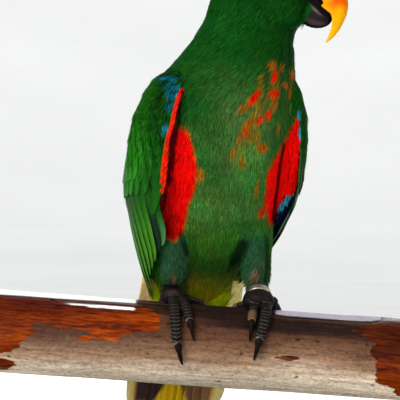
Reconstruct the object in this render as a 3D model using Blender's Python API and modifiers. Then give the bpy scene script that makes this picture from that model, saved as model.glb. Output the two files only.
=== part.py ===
"""A life-size still model of a male eclectus parrot that grips a cut length of rail on a display stand.

Sizes are in millimetres and become metres when a mesh is made. +Z is up, and a viewer who looks along +Y
sees +X to the right. The origin is the middle of the stand's underside. The bird's heights are counted
from the top of the rail above the origin.
"""

from math import cos, pi, radians, sin, sqrt

import bmesh
import bpy
from mathutils import Matrix, Vector

MM = 0.001
GAP = 0.3

# The bird's sides, with the sign of a distance toward its left
SIDES = {"right": -1, "left": 1}

# Rail, an old round pole that runs down a little toward the viewer's right
RAIL_RADIUS = 27.5
RAIL_LENGTH = 306.0
RAIL_SLOPE = radians(4.1)
RAIL_AXIS_HEIGHT = 115.0
RAIL_SIDES = 44
RAIL_TOP = RAIL_AXIS_HEIGHT + RAIL_RADIUS / cos(RAIL_SLOPE)

# Stand
BASE_SIZE = (300.0, 180.0, 12.0)
BASE_CORNER_RADIUS = 14.0
EDGE_ROUNDING = 1.5
ROD_RADIUS = 4.0
ROD_SIDES = 20
ROD_REACH = 142.0
ROD_IN_BASE = 7.0
ROD_IN_RAIL = 10.0

# Bird's stance
BODY_YAW = radians(22.0)
BODY_MIDDLE_X = 10.0
HEAD_YAW = radians(80.0)
HEAD_X = 45.6
HEAD_Y = -29.0
TAIL_LEAN = radians(22.0)

# Trunk and neck, level slices from the vent up into the head:
# height, forward, toward the bird's left, half width, depth in front, depth behind
TORSO = [
    (-16.0, -61.0, 0.0, 5.0, 2.0, 2.5),
    (-8.0, -57.0, 0.0, 14.0, 7.0, 8.0),
    (6.0, -47.0, 0.0, 23.0, 16.0, 16.0),
    (21.0, -34.0, 0.0, 30.0, 25.0, 26.0),
    (35.0, -25.0, 0.0, 36.0, 32.0, 33.0),
    (58.0, -11.0, 0.0, 45.0, 39.0, 42.0),
    (78.0, -4.0, 0.0, 49.5, 43.0, 46.0),
    (98.0, 1.5, 0.0, 51.0, 45.5, 47.0),
    (118.0, 6.0, 0.0, 51.0, 46.0, 46.5),
    (137.0, 10.0, 0.5, 49.0, 44.5, 44.5),
    (151.0, 15.0, 2.5, 46.5, 40.0, 41.0),
    (163.0, 20.5, 6.2, 40.5, 34.5, 36.0),
    (176.0, 26.0, 9.5, 34.8, 29.0, 30.0),
    (190.0, 31.0, 14.0, 32.8, 25.5, 26.0),
    (204.0, 34.5, 14.0, 30.0, 22.5, 22.5),
    (217.0, 36.5, 11.5, 23.5, 19.0, 19.0),
    (228.0, 37.5, 10.0, 16.5, 14.5, 14.5),
    (237.0, 38.0, 10.5, 7.0, 6.5, 6.5),
]
TORSO_SIDES = 20
TORSO_ROUND = 2.15

# Head, upright slices from the back of the skull to the face: ahead, top, bottom, half width
HEAD = [
    (-28.6, 223.0, 216.0, 3.5),
    (-24.5, 231.8, 204.0, 12.0),
    (-17.7, 239.2, 194.5, 17.2),
    (-8.2, 243.9, 189.0, 20.4),
    (1.4, 245.2, 186.3, 21.8),
    (10.9, 244.5, 185.0, 21.6),
    (18.5, 242.3, 184.3, 20.4),
    (23.0, 240.0, 186.5, 19.0),
    (26.5, 237.6, 194.0, 17.0),
    (30.0, 234.0, 201.5, 14.6),
    (34.0, 229.5, 207.0, 11.5),
    (39.0, 221.5, 211.5, 6.0),
]
HEAD_SIDES = 20
HEAD_ROUND = 2.25

# Bill, slices between a ridge point and an edge point: ahead and height of each, then half width
BILL_UPPER = [
    (34.0, 222.6, 23.0, 212.5, 8.0),
    (40.1, 219.1, 27.2, 208.8, 9.4),
    (45.6, 214.4, 29.9, 205.2, 9.6),
    (50.0, 209.0, 32.8, 201.4, 9.2),
    (52.7, 203.7, 35.7, 197.9, 8.5),
    (53.2, 198.3, 38.8, 195.2, 7.7),
    (52.4, 192.6, 41.6, 191.6, 6.7),
    (50.3, 187.6, 42.8, 186.9, 5.5),
    (47.6, 182.6, 42.2, 183.2, 4.2),
    (43.9, 177.9, 40.9, 179.6, 2.8),
    (41.1, 175.5, 39.4, 176.5, 1.6),
    (38.5, 173.6, 38.0, 174.2, 0.6),
]
BILL_LOWER = [
    (19.7, 190.6, 25.0, 205.4, 7.8),
    (21.8, 188.3, 28.2, 204.4, 8.4),
    (24.4, 185.9, 30.6, 202.4, 8.5),
    (28.2, 184.2, 32.6, 199.2, 8.1),
    (32.6, 183.5, 35.2, 196.3, 7.4),
    (36.7, 184.0, 38.0, 193.9, 6.3),
    (40.1, 185.6, 40.4, 191.9, 4.9),
    (42.0, 187.8, 41.8, 190.4, 3.0),
]
BILL_SIDES = 14
BILL_FULLNESS = 0.9

EYE_RADIUS = 5.6
EYE_AHEAD = 15.6
EYE_HEIGHT = 223.8
EYE_DEPTH = 15.6

# The planes that part head, neck and trunk: a point and an upward normal, in the world
HEAD_CUT_POINT = (36.0, -28.0, 191.5)
HEAD_CUT_NORMAL = (0.28, 0.0, 0.96)
NECK_CUT_POINT = (20.0, -12.0, 160.0)
NECK_CUT_NORMAL = (0.16, -0.30, 0.94)

# Folded wing, level slices of a curved blade around the body: height, forward, half width, half depth,
# front and back angle from the breast, thickness, and how far the back edge tucks in
WING = [
    (155.0, 18.0, 43.5, 37.0, 68.0, 98.0, 3.0, 0.0),
    (151.0, 15.5, 49.0, 42.5, 57.0, 114.0, 9.0, 1.5),
    (143.0, 12.5, 54.5, 46.5, 51.0, 127.0, 12.0, 3.5),
    (127.0, 8.0, 61.0, 50.0, 50.0, 138.0, 14.0, 6.0),
    (112.0, 4.5, 63.2, 51.0, 49.0, 144.0, 14.0, 6.5),
    (96.0, 1.0, 63.6, 51.0, 48.5, 150.0, 14.0, 6.5),
    (81.0, -3.0, 63.0, 50.0, 50.0, 156.0, 14.0, 6.0),
    (66.0, -8.0, 60.0, 48.0, 54.0, 161.0, 13.0, 5.0),
    (50.0, -15.0, 54.0, 45.0, 58.0, 166.0, 11.5, 3.5),
    (36.0, -23.5, 47.5, 39.5, 61.0, 169.0, 9.5, 2.0),
    (25.0, -31.5, 41.5, 33.5, 70.0, 171.0, 7.0, 0.8),
    (14.0, -41.0, 34.0, 26.5, 100.0, 172.0, 5.0, 0.0),
    (0.0, -52.0, 26.5, 18.5, 112.0, 174.0, 3.6, 0.0),
    (-15.0, -59.0, 21.0, 14.5, 113.0, 175.0, 3.0, 0.0),
    (-30.0, -66.0, 16.0, 12.0, 113.0, 176.0, 2.6, 0.0),
    (-44.0, -72.5, 11.0, 9.5, 114.0, 176.0, 2.2, 0.0),
    (-54.0, -78.0, 6.5, 6.0, 120.0, 174.0, 1.6, 0.0),
]
WING_STEPS = 8
WING_BACK_THICKNESS = 1.4
WING_FRONT_EDGE = 0.45
WING_TRAIL_EDGE = 0.35
WING_EDGE_ROUND = 0.25

# Tail, slices across twelve overlapping feathers:
# share of the length, half width, place of the middle toward the bird's left, thickness, camber
TAIL_ROOT_FORWARD = -49.5
TAIL_ROOT_HEIGHT = 13.5
TAIL_LENGTH = 107.0
TAIL = [
    (0.0, 35.0, 4.5, 4.2, 3.0),
    (0.12, 36.6, 1.2, 4.2, 3.6),
    (0.4, 36.3, 0.4, 3.5, 4.0),
    (0.72, 35.0, 0.9, 3.0, 4.1),
    (1.0, 31.5, 1.0, 1.8, 3.6),
]
TAIL_FEATHERS = 12
TAIL_SIDE_DROP = 15.0
TAIL_NOTCH = 2.6
TAIL_EDGE_THICKNESS = 1.2

# Legs. A foot's place is counted along the rail, and an angle from the rail's top toward the viewer
FOOT_PLACE = {"right": -18.8, "left": 39.0}
HIP_SIDE = 25.0
HIP_FORWARD = 6.0
HIP_HEIGHT = 57.0
ANKLE_Y = 7.5
ANKLE_HEIGHT = 17.5
THIGH = [
    (-0.1, 13.0, 14.0),
    (0.15, 14.2, 16.5),
    (0.42, 12.8, 14.6),
    (0.66, 10.8, 11.8),
    (0.85, 9.4, 9.8),
    (1.0, 7.4, 7.8),
    (1.09, 5.2, 5.4),
]
LEG_SIDES = 14

# Shank from the ankle to the palm: place behind the rail's crest, height over it, half width, half depth
SHANK = [
    (11.5, 21.5, 4.2, 3.8),
    (8.5, 17.6, 5.4, 4.8),
    (4.2, 12.6, 5.6, 4.6),
    (0.2, 8.8, 6.4, 4.8),
    (-3.8, 6.0, 8.2, 5.0),
    (-7.6, 3.9, 8.6, 4.4),
    (-10.8, 2.0, 6.8, 3.2),
]

# Toes, from the palm to the claw: place along the rail, and angle, at the start, the bend and the end
TOES = {
    "right": {
        1: ((-15.0, -6.0), (-8.0, -20.0), (1.5, -33.0)),
        2: ((-15.5, 8.0), (-11.5, 34.0), (-7.8, 60.0)),
        3: ((-20.5, 8.0), (-18.0, 50.0), (-15.0, 91.0)),
        4: ((-22.5, -6.0), (-26.5, -30.0), (-28.5, -60.0)),
    },
    "left": {
        1: ((35.5, -6.0), (30.0, -18.0), (22.5, -30.0)),
        2: ((36.2, 9.0), (33.8, 31.0), (33.2, 54.0)),
        3: ((42.0, 8.0), (41.8, 44.0), (38.6, 78.0)),
        4: ((43.5, -6.0), (49.0, -26.0), (51.0, -56.0)),
    },
}
CLAW_TIPS = {
    "right": {1: (6.5, -50.0), 2: (-4.4, 82.0), 3: (-10.8, 117.0), 4: (-29.5, -84.0)},
    "left": {1: (17.5, -46.0), 2: (32.8, 77.0), 3: (36.4, 103.0), 4: (51.5, -80.0)},
}
TOE_RADIUS = {1: 3.7, 2: 3.6, 3: 4.1, 4: 3.9}
TOE_PADS = {1: 2, 2: 3, 3: 4, 4: 4}
TOE_STATIONS = 9
TOE_SIDES = 8
TOE_LIFT = 0.82
TOE_SWELL = 0.06
TOE_TAPER = 0.16
TOE_JOINT_DIP = 0.07
TOE_TIP_START = 0.86
TOE_TIP_LENGTH = 0.16
TOE_TIP_SHARE = 0.45
CLAW_RADIUS = {1: 2.1, 2: 2.3, 3: 2.6, 4: 2.4}
CLAW_START = 0.9
CLAW_TIP_RADIUS = 0.45
CLAW_ARCH = 2.4
CLAW_TAPER = 0.8
CLAW_FLATNESS = 0.8
CLAW_STATIONS = 7
CLAW_SIDES = 7

# Ring on the left shank
RING_OUTER_RADIUS = 8.6
RING_INNER_RADIUS = 7.4
RING_HEIGHT = 4.6
RING_BETWEEN = (2, 3)
RING_SHARE = 0.4
RING_SIDES = 28


def new_collection(name):
    made = bpy.data.collections.new(name)
    bpy.context.scene.collection.children.link(made)
    return made


for leftover in list(bpy.data.objects):
    bpy.data.objects.remove(leftover)
PARTS = new_collection("eclectus_parrot")
CUTTERS = new_collection("cutters")


def material(name, colour, roughness, metallic=0.0):
    made = bpy.data.materials.new(name)
    made.use_nodes = True
    shader = made.node_tree.nodes["Principled BSDF"]
    shader.inputs["Base Color"].default_value = (*colour, 1.0)
    shader.inputs["Roughness"].default_value = roughness
    shader.inputs["Metallic"].default_value = metallic
    made.diffuse_color = (*colour, 1.0)
    return made


GREEN = material("green_plumage", (0.02, 0.12, 0.03), 0.6)
WING_GREEN = material("wing_plumage", (0.02, 0.16, 0.04), 0.55)
TAIL_DARK = material("tail_plumage", (0.06, 0.05, 0.03), 0.6)
BILL_ORANGE = material("bill_orange", (0.9, 0.3, 0.01), 0.3)
BILL_BLACK = material("bill_black", (0.02, 0.015, 0.02), 0.4)
EYE_ORANGE = material("eye", (0.5, 0.12, 0.01), 0.1)
FOOT_GREY = material("foot_skin", (0.05, 0.04, 0.045), 0.7)
CLAW_BLACK = material("claw", (0.01, 0.01, 0.01), 0.35)
RING_METAL = material("ring_metal", (0.5, 0.45, 0.38), 0.4, 1.0)
RAIL_WOOD = material("rail_wood", (0.3, 0.2, 0.13), 0.6)
STAND_DARK = material("stand_enamel", (0.03, 0.03, 0.03), 0.4)
ROD_METAL = material("rod_metal", (0.55, 0.5, 0.42), 0.3, 1.0)


def place(obj, look=None):
    """Links a finished part, or with no look a cutter that never shows."""
    if look is None:
        CUTTERS.objects.link(obj)
        obj.hide_render = True
        obj.display_type = "WIRE"
    else:
        PARTS.objects.link(obj)
        obj.data.materials.clear()
        obj.data.materials.append(look)
        obj.data.shade_smooth()
        obj.data.set_sharp_from_angle(angle=radians(40))
    return obj


def loft(name, rings, look=None):
    """One closed solid through rings of equally many points, in millimetres, with flat ends."""
    mesh = bpy.data.meshes.new(name)
    shape = bmesh.new()
    made = [[shape.verts.new(Vector(point) * MM) for point in ring] for ring in rings]
    count = len(rings[0])
    for lower, upper in zip(made, made[1:]):
        for i in range(count):
            j = (i + 1) % count
            shape.faces.new((lower[i], lower[j], upper[j], upper[i]))
    shape.faces.new(list(reversed(made[0])))
    shape.faces.new(made[-1])
    bmesh.ops.triangulate(shape, faces=[f for f in shape.faces if len(f.verts) > 4])
    bmesh.ops.recalc_face_normals(shape, faces=shape.faces[:])
    shape.to_mesh(mesh)
    shape.free()
    return place(bpy.data.objects.new(name, mesh), look)


def evaluated_mesh(obj):
    bpy.context.view_layer.update()
    graph = bpy.context.evaluated_depsgraph_get()
    return bpy.data.meshes.new_from_object(obj.evaluated_get(graph))


def combine(obj, tools, operation="DIFFERENCE", solver="EXACT"):
    """Cuts the tools from obj, or joins them to it, and keeps the result as its own mesh."""
    for tool in tools:
        step = obj.modifiers.new(operation.lower(), "BOOLEAN")
        step.operation = operation
        step.object = tool
        step.solver = solver
        result = evaluated_mesh(obj)
        obj.modifiers.clear()
        obj.data = result
    obj.data.shade_smooth()
    obj.data.set_sharp_from_angle(angle=radians(40))
    return obj


def body_point(left, forward, height):
    """A point from its places toward the bird's left, along its breast's direction and over the rail."""
    x = BODY_MIDDLE_X + left * cos(BODY_YAW) + forward * sin(BODY_YAW)
    y = left * sin(BODY_YAW) - forward * cos(BODY_YAW)
    return Vector((x, y, RAIL_TOP + height))


def head_point(left, ahead, height):
    x = HEAD_X + ahead * sin(HEAD_YAW) + left * cos(HEAD_YAW)
    y = HEAD_Y - ahead * cos(HEAD_YAW) + left * sin(HEAD_YAW)
    return Vector((x, y, RAIL_TOP + height))


def rail_point(along, angle, distance):
    """A point near the rail: its place along the axis, its angle from the top toward the viewer in degrees,
    and its distance from the axis."""
    turn = radians(angle)
    up = distance * cos(turn)
    x = along * cos(RAIL_SLOPE) + up * sin(RAIL_SLOPE)
    z = RAIL_AXIS_HEIGHT - along * sin(RAIL_SLOPE) + up * cos(RAIL_SLOPE)
    return Vector((x, -distance * sin(turn), z))


def power(value, exponent):
    return abs(value) ** exponent * (1 if value >= 0 else -1)


def rounded_ring(point_at, across, ahead, behind, count, roundness):
    """A closed oval of points; point_at turns an oval's (across, along) into a place."""
    ring = []
    for i in range(count):
        angle = 2 * pi * i / count
        side = across * power(sin(angle), 2 / roundness)
        depth = power(cos(angle), 2 / roundness)
        ring.append(point_at(side, depth * (ahead if depth > 0 else behind)))
    return ring


def torso(name, grow=0.0):
    rings = []
    for height, forward, left, width, front, back in TORSO:
        rings.append(rounded_ring(
            lambda side, depth: body_point(left + side, forward + depth, height),
            width + grow, front + grow, back + grow, TORSO_SIDES, TORSO_ROUND,
        ))
    return loft(name, rings)


def skull(name):
    rings = []
    for ahead, top, bottom, width in HEAD:
        middle = (top + bottom) / 2
        half = (top - bottom) / 2
        rings.append(rounded_ring(
            lambda side, rise: head_point(side, ahead, middle + rise),
            width, half, half, HEAD_SIDES, HEAD_ROUND,
        ))
    return loft(name, rings)


def bill(name, rows, grow=0.0, look=None):
    """A half of the bill: each slice is a hood from its ridge to its edges, closed flat between them."""
    rings = []
    for ridge_ahead, ridge_height, edge_ahead, edge_height, width in rows:
        ridge = Vector((ridge_ahead, ridge_height))
        edge = Vector((edge_ahead, edge_height))
        out = (ridge - edge).normalized() * grow
        ridge = ridge + out
        edge = edge - out
        ring = []
        for i in range(BILL_SIDES):
            share = -1 + 2 * i / (BILL_SIDES - 1)
            angle = share * pi / 2
            middle = edge.lerp(ridge, cos(angle))
            side = (width + grow) * power(sin(angle), BILL_FULLNESS)
            ring.append(head_point(side, middle.x, middle.y))
        rings.append(ring)
    return loft(name, rings, look)


def ball(name, centre, radius, look=None):
    mesh = bpy.data.meshes.new(name)
    shape = bmesh.new()
    bmesh.ops.create_uvsphere(shape, u_segments=12, v_segments=8, radius=radius * MM)
    shape.to_mesh(mesh)
    shape.free()
    mesh.transform(Matrix.Translation(centre * MM))
    return place(bpy.data.objects.new(name, mesh), look)


def half_space(name, point, normal, above, offset):
    """A large block whose one face lies on the plane, moved by the offset along the normal."""
    size = 400.0
    facing = Vector(normal).normalized()
    origin = Vector((0, 0, RAIL_TOP)) + Vector(point) + facing * offset
    centre = origin + facing * (size / 2 if above else -size / 2)
    mesh = bpy.data.meshes.new(name)
    shape = bmesh.new()
    bmesh.ops.create_cube(shape, size=size * MM)
    shape.to_mesh(mesh)
    shape.free()
    turn = facing.to_track_quat("Z", "Y").to_matrix().to_4x4()
    mesh.transform(Matrix.Translation(centre * MM) @ turn)
    return place(bpy.data.objects.new(name, mesh))


def wing(name, side, look=None):
    """A folded wing as a curved blade: its outer face bulges over the body, and its edges are thinned."""
    rings = []
    for height, forward, width, depth, front, back, thickness, tuck in WING:
        outer, inner = [], []
        for i in range(WING_STEPS + 1):
            share = i / WING_STEPS
            angle = radians(front + (back - front) * share)
            rounding = min(1.0, WING_FRONT_EDGE + 4 * share, WING_TRAIL_EDGE + 5 * (1 - share))
            thick = (thickness * (1 - share) + WING_BACK_THICKNESS * share) * rounding
            sunk = thickness * WING_EDGE_ROUND * (1 - rounding) + tuck * share ** 3
            for column, depth_in in ((outer, sunk), (inner, sunk + thick)):
                column.append(body_point(
                    side * (width - depth_in) * sin(angle),
                    forward + (depth - depth_in) * cos(angle),
                    height,
                ))
        rings.append(outer + inner[::-1])
    return loft(name, rings, look)


def tail_reach(across):
    """The tail's length at a place across it, from -1 to 1: rounded, with a notch between the feathers."""
    slot = (across + 1) / 2 * TAIL_FEATHERS
    notch = abs(2 * (slot - int(min(slot, TAIL_FEATHERS - 1))) - 1)
    return TAIL_LENGTH - TAIL_SIDE_DROP * across ** 2 - TAIL_NOTCH * notch


def tail(name, grow=0.0, look=None):
    count = TAIL_FEATHERS * 2
    rings = []
    for share, width, middle, thickness, camber in TAIL:
        upper, under = [], []
        for i in range(count + 1):
            across = -1 + 2 * i / count
            reach = share * tail_reach(across)
            half = grow + 0.5 * (TAIL_EDGE_THICKNESS
                                 + (thickness - TAIL_EDGE_THICKNESS) * (1 - across ** 4))
            rise = camber * (1 - across ** 2) - camber / 2
            left = middle + (width + grow) * across
            for column, lift in ((upper, rise + half), (under, rise - half)):
                forward = TAIL_ROOT_FORWARD - reach * sin(TAIL_LEAN) - lift * cos(TAIL_LEAN)
                height = TAIL_ROOT_HEIGHT - reach * cos(TAIL_LEAN) + lift * sin(TAIL_LEAN)
                column.append(body_point(left, forward, height))
        rings.append(upper + under[::-1])
    return loft(name, rings, look)


def rail_crest(x):
    """How much lower or higher the rail's top is at x than above the origin."""
    return -x * sin(RAIL_SLOPE) / cos(RAIL_SLOPE)


def tube(name, centres, sizes, sides, grow=0.0, look=None):
    """A loft of ovals at right angles to a line of centres; sizes give half width along X and half depth."""
    rings = []
    across = Vector((1, 0, 0))
    for i, (centre, (width, depth)) in enumerate(zip(centres, sizes)):
        ahead = centres[min(i + 1, len(centres) - 1)] - centres[max(i - 1, 0)]
        forward = ahead.normalized()
        across = (across - forward * across.dot(forward)).normalized()
        normal = forward.cross(across)
        rings.append([
            centre + across * (width + grow) * cos(2 * pi * k / sides)
            + normal * (depth + grow) * sin(2 * pi * k / sides)
            for k in range(sides)
        ])
    return loft(name, rings, look)


def thigh(name, side, grow=0.0, look=None):
    sign = 1 if side == "left" else -1
    hip = body_point(sign * HIP_SIDE, HIP_FORWARD, HIP_HEIGHT)
    foot_x = FOOT_PLACE[side]
    ankle = Vector((foot_x, ANKLE_Y, RAIL_TOP + rail_crest(foot_x) + ANKLE_HEIGHT))
    centres = [hip.lerp(ankle, row[0]) for row in THIGH]
    return tube(name, centres, [row[1:] for row in THIGH], LEG_SIDES, grow, look)


def shank(name, side, grow=0.0, look=None):
    foot_x = FOOT_PLACE[side]
    centres = [
        Vector((foot_x, row[0], RAIL_TOP + rail_crest(foot_x) + row[1])) for row in SHANK
    ]
    return tube(name, centres, [row[2:] for row in SHANK], LEG_SIDES, grow, look)


def toe_place(side, digit, share):
    """Place along the rail and angle at a share of the toe's length, on a curve through its three places."""
    start, bend, end = TOES[side][digit]
    return tuple(
        a * (2 * share - 1) * (share - 1) + 4 * b * share * (1 - share) + c * share * (2 * share - 1)
        for a, b, c in zip(start, bend, end)
    )


def toe(name, side, digit, grow=0.0, look=None):
    centres, sizes = [], []
    for i in range(TOE_STATIONS):
        share = i / (TOE_STATIONS - 1)
        along, angle = toe_place(side, digit, share)
        joint = 0.5 + 0.5 * cos(2 * pi * TOE_PADS[digit] * share)
        past_bend = max(0.0, (share - TOE_TIP_START) / TOE_TIP_LENGTH)
        blunt = TOE_TIP_SHARE + (1 - TOE_TIP_SHARE) * sqrt(max(0.0, 1 - past_bend ** 2))
        radius = TOE_RADIUS[digit] * (1 + TOE_SWELL - TOE_TAPER * share - TOE_JOINT_DIP * joint) * blunt
        centres.append(rail_point(along, angle, RAIL_RADIUS + TOE_RADIUS[digit] * TOE_LIFT))
        sizes.append((radius, radius))
    return tube(name, centres, sizes, TOE_SIDES, grow, look)


def claw(name, side, digit, look=None):
    """A claw that arches away from the rail and comes back to it at its point."""
    start = toe_place(side, digit, CLAW_START)
    end = CLAW_TIPS[side][digit]
    centres, sizes = [], []
    for i in range(CLAW_STATIONS):
        share = i / (CLAW_STATIONS - 1)
        along = start[0] + (end[0] - start[0]) * share
        angle = start[1] + (end[1] - start[1]) * share
        radius = CLAW_TIP_RADIUS + (CLAW_RADIUS[digit] - CLAW_TIP_RADIUS) * (1 - share) ** CLAW_TAPER
        base = TOE_RADIUS[digit] * TOE_LIFT * (1 - share)
        height = base + CLAW_ARCH * sin(pi * share) + (GAP + CLAW_TIP_RADIUS) * share
        centres.append(rail_point(along, angle, RAIL_RADIUS + height))
        sizes.append((radius * CLAW_FLATNESS, radius))
    return tube(name, centres, sizes, CLAW_SIDES, 0.0, look)


def cylinder(name, start, end, radius, sides, look=None):
    mesh = bpy.data.meshes.new(name)
    shape = bmesh.new()
    length = (end - start).length
    bmesh.ops.create_cone(
        shape, cap_ends=True, segments=sides, radius1=radius * MM, radius2=radius * MM, depth=length * MM)
    shape.to_mesh(mesh)
    shape.free()
    turn = (end - start).to_track_quat("Z", "Y").to_matrix().to_4x4()
    mesh.transform(Matrix.Translation((start + end) / 2 * MM) @ turn)
    return place(bpy.data.objects.new(name, mesh), look)


def soften(obj, width):
    """Rounds the sharp edges and keeps the result as the object's own mesh."""
    step = obj.modifiers.new("rounded", "BEVEL")
    step.width = width * MM
    step.segments = 1
    step.limit_method = "ANGLE"
    step.angle_limit = radians(50)
    result = evaluated_mesh(obj)
    obj.modifiers.clear()
    obj.data = result
    obj.data.set_sharp_from_angle(angle=radians(40))
    return obj


def part_from(source, name, look):
    return place(bpy.data.objects.new(name, source.data.copy()), look)


def make_body():
    """Head, neck and trunk are one form, parted by two thin cuts."""
    whole = combine(torso("whole"), [skull("skull")], "UNION")
    under_head = half_space("under_head", HEAD_CUT_POINT, HEAD_CUT_NORMAL, False, GAP / 2)
    over_neck = half_space("over_neck", HEAD_CUT_POINT, HEAD_CUT_NORMAL, True, -GAP / 2)
    under_neck = half_space("under_neck", NECK_CUT_POINT, NECK_CUT_NORMAL, False, GAP / 2)
    over_trunk = half_space("over_trunk", NECK_CUT_POINT, NECK_CUT_NORMAL, True, -GAP / 2)

    eyes = {side: head_point(sign * EYE_DEPTH, EYE_AHEAD, EYE_HEIGHT) for side, sign in SIDES.items()}
    sockets = [ball(f"socket_{side}", centre, EYE_RADIUS + GAP) for side, centre in eyes.items()]
    for side, centre in eyes.items():
        ball(f"eye_{side}", centre, EYE_RADIUS, EYE_ORANGE)

    upper_room = bill("upper_room", BILL_UPPER, GAP)
    lower_room = bill("lower_room", BILL_LOWER, GAP)
    bill("bill_upper", BILL_UPPER, look=BILL_ORANGE)
    combine(bill("bill_lower", BILL_LOWER, look=BILL_BLACK), [upper_room])

    combine(part_from(whole, "head", GREEN), [under_head, upper_room, lower_room, *sockets])
    combine(part_from(whole, "neck", GREEN), [over_neck, under_neck, lower_room])
    combine(part_from(whole, "trunk", GREEN), [over_trunk])


def make_limbs():
    body_room = torso("body_room", GAP)
    tail_room = tail("tail_room", GAP)
    combine(tail("tail", look=TAIL_DARK), [body_room])
    ring("leg_ring", look=RING_METAL)
    ring_room = ring("ring_room", GAP)
    for side, sign in SIDES.items():
        worn = [ring_room] if side == "left" else []
        thigh_room = thigh(f"thigh_room_{side}", side, GAP)
        combine(wing(f"wing_{side}", sign, WING_GREEN), [body_room, tail_room, thigh_room])
        combine(thigh(f"thigh_{side}", side, look=GREEN), [body_room, *worn])
        make_foot(side, [thigh_room, body_room], worn)


def make_foot(side, leg_rooms, worn):
    """Shank, four toes and four claws, each cut clear of what it grows from and of the rail."""
    rail_room = cylinder(
        f"rail_room_{side}", rail_point(-RAIL_LENGTH / 2, 0, 0), rail_point(RAIL_LENGTH / 2, 0, 0),
        RAIL_RADIUS + GAP, RAIL_SIDES)
    combine(shank(f"tarsus_{side}", side, look=FOOT_GREY), [*leg_rooms, rail_room])
    foot_rooms = [rail_room, shank(f"shank_room_{side}", side, GAP), *worn]
    toe_rooms = []
    for digit in (3, 2, 4, 1):
        cut = combine(toe(f"toe_{side}_{digit}", side, digit, look=FOOT_GREY), foot_rooms)
        combine(cut, toe_rooms, solver="MANIFOLD")
        toe_room = toe(f"toe_room_{side}_{digit}", side, digit, GAP)
        combine(claw(f"claw_{side}_{digit}", side, digit, CLAW_BLACK), [toe_room, rail_room])
        toe_rooms.append(toe_room)


def ring(name, grow=0.0, look=None):
    """A plain band round the left shank, square to it. Grown, it is the whole space that the band fills."""
    foot_x = FOOT_PLACE["left"]
    upper, lower = (
        Vector((foot_x, SHANK[i][0], RAIL_TOP + rail_crest(foot_x) + SHANK[i][1])) for i in RING_BETWEEN
    )
    centre = upper.lerp(lower, RING_SHARE)
    axis = (upper - lower).normalized()
    half = axis * (RING_HEIGHT / 2 + grow)
    band = cylinder(name, centre - half, centre + half, RING_OUTER_RADIUS + grow, RING_SIDES, look)
    if grow:
        return band
    hole = cylinder("ring_hole", centre - half * 2, centre + half * 2, RING_INNER_RADIUS, RING_SIDES)
    return combine(band, [hole])


def make_stand():
    ends = [rail_point(sign * RAIL_LENGTH / 2, 0, 0) for sign in (-1, 1)]
    rail = soften(cylinder("perch", *ends, RAIL_RADIUS, RAIL_SIDES, RAIL_WOOD), EDGE_ROUNDING)
    width, depth, height = BASE_SIZE
    mesh = bpy.data.meshes.new("stand_base")
    shape = bmesh.new()
    bmesh.ops.create_cube(shape, size=1.0)
    bmesh.ops.scale(shape, vec=(width * MM, depth * MM, height * MM), verts=shape.verts)
    bmesh.ops.translate(shape, vec=(0, 0, height / 2 * MM), verts=shape.verts)
    upright = [e for e in shape.edges if abs(e.verts[0].co.z - e.verts[1].co.z) > height / 2 * MM]
    bmesh.ops.bevel(
        shape, geom=upright, offset=BASE_CORNER_RADIUS * MM, segments=5, profile=0.5, affect="EDGES")
    shape.to_mesh(mesh)
    shape.free()
    base = soften(place(bpy.data.objects.new("stand_base", mesh), STAND_DARK), EDGE_ROUNDING)
    for side, sign in SIDES.items():
        x = sign * ROD_REACH
        foot = Vector((x, 0, height - ROD_IN_BASE))
        rail_under = RAIL_AXIS_HEIGHT + rail_crest(x) - RAIL_RADIUS
        head = Vector((x, 0, rail_under + ROD_IN_RAIL))
        cylinder(f"stand_rod_{side}", foot, head, ROD_RADIUS, ROD_SIDES, ROD_METAL)
        spare = Vector((0, 0, GAP))
        hole = cylinder(f"rod_hole_{side}", foot - spare, head + spare, ROD_RADIUS + GAP, ROD_SIDES)
        combine(base, [hole])
        combine(rail, [hole])


make_body()
make_limbs()
make_stand()
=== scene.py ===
"""The looks of a life-size male eclectus parrot that grips a cut length of rail over a display stand.

Sizes are in millimetres and become metres when a mesh is made. Colours are given as they look on a screen,
0 to 255. +Z is up, and the viewer looks along +Y with +X to the right. The bird's heights are counted from
the top of the rail above the origin, and its sides are its own left and right.
"""

from math import cos, pi, radians, sin

import bmesh
import bpy
import numpy as np
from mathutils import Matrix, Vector
from mathutils.bvhtree import BVHTree


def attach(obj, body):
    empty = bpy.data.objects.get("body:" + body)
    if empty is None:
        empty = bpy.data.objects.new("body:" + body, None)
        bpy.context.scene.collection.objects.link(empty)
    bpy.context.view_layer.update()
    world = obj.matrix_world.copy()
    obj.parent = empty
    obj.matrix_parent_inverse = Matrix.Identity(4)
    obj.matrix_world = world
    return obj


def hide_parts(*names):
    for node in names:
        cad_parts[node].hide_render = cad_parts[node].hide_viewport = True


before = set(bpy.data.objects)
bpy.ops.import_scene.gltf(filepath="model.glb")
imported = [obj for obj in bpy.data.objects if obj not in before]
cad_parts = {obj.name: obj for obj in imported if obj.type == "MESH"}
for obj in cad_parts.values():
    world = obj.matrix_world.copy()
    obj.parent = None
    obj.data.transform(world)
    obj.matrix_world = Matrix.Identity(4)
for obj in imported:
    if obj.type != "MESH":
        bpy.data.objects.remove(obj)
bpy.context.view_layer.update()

MM = 0.001
SIDES = {"right": -1, "left": 1}
rng = np.random.default_rng(7)

# Rail
RAIL_RADIUS = 27.5
RAIL_LENGTH = 306.0
RAIL_SLOPE = radians(4.1)
RAIL_AXIS_HEIGHT = 115.0
RAIL_TOP = RAIL_AXIS_HEIGHT + RAIL_RADIUS / cos(RAIL_SLOPE)

# Stance
BODY_YAW = radians(22.0)
BODY_MIDDLE_X = 10.0
HEAD_YAW = radians(80.0)
HEAD_X = 45.6
HEAD_Y = -29.0
# The eyes' place on the head: ahead, height, and to each side
EYE = (15.6, 223.8, 15.6)
EYE_RADIUS = 5.6
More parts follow.
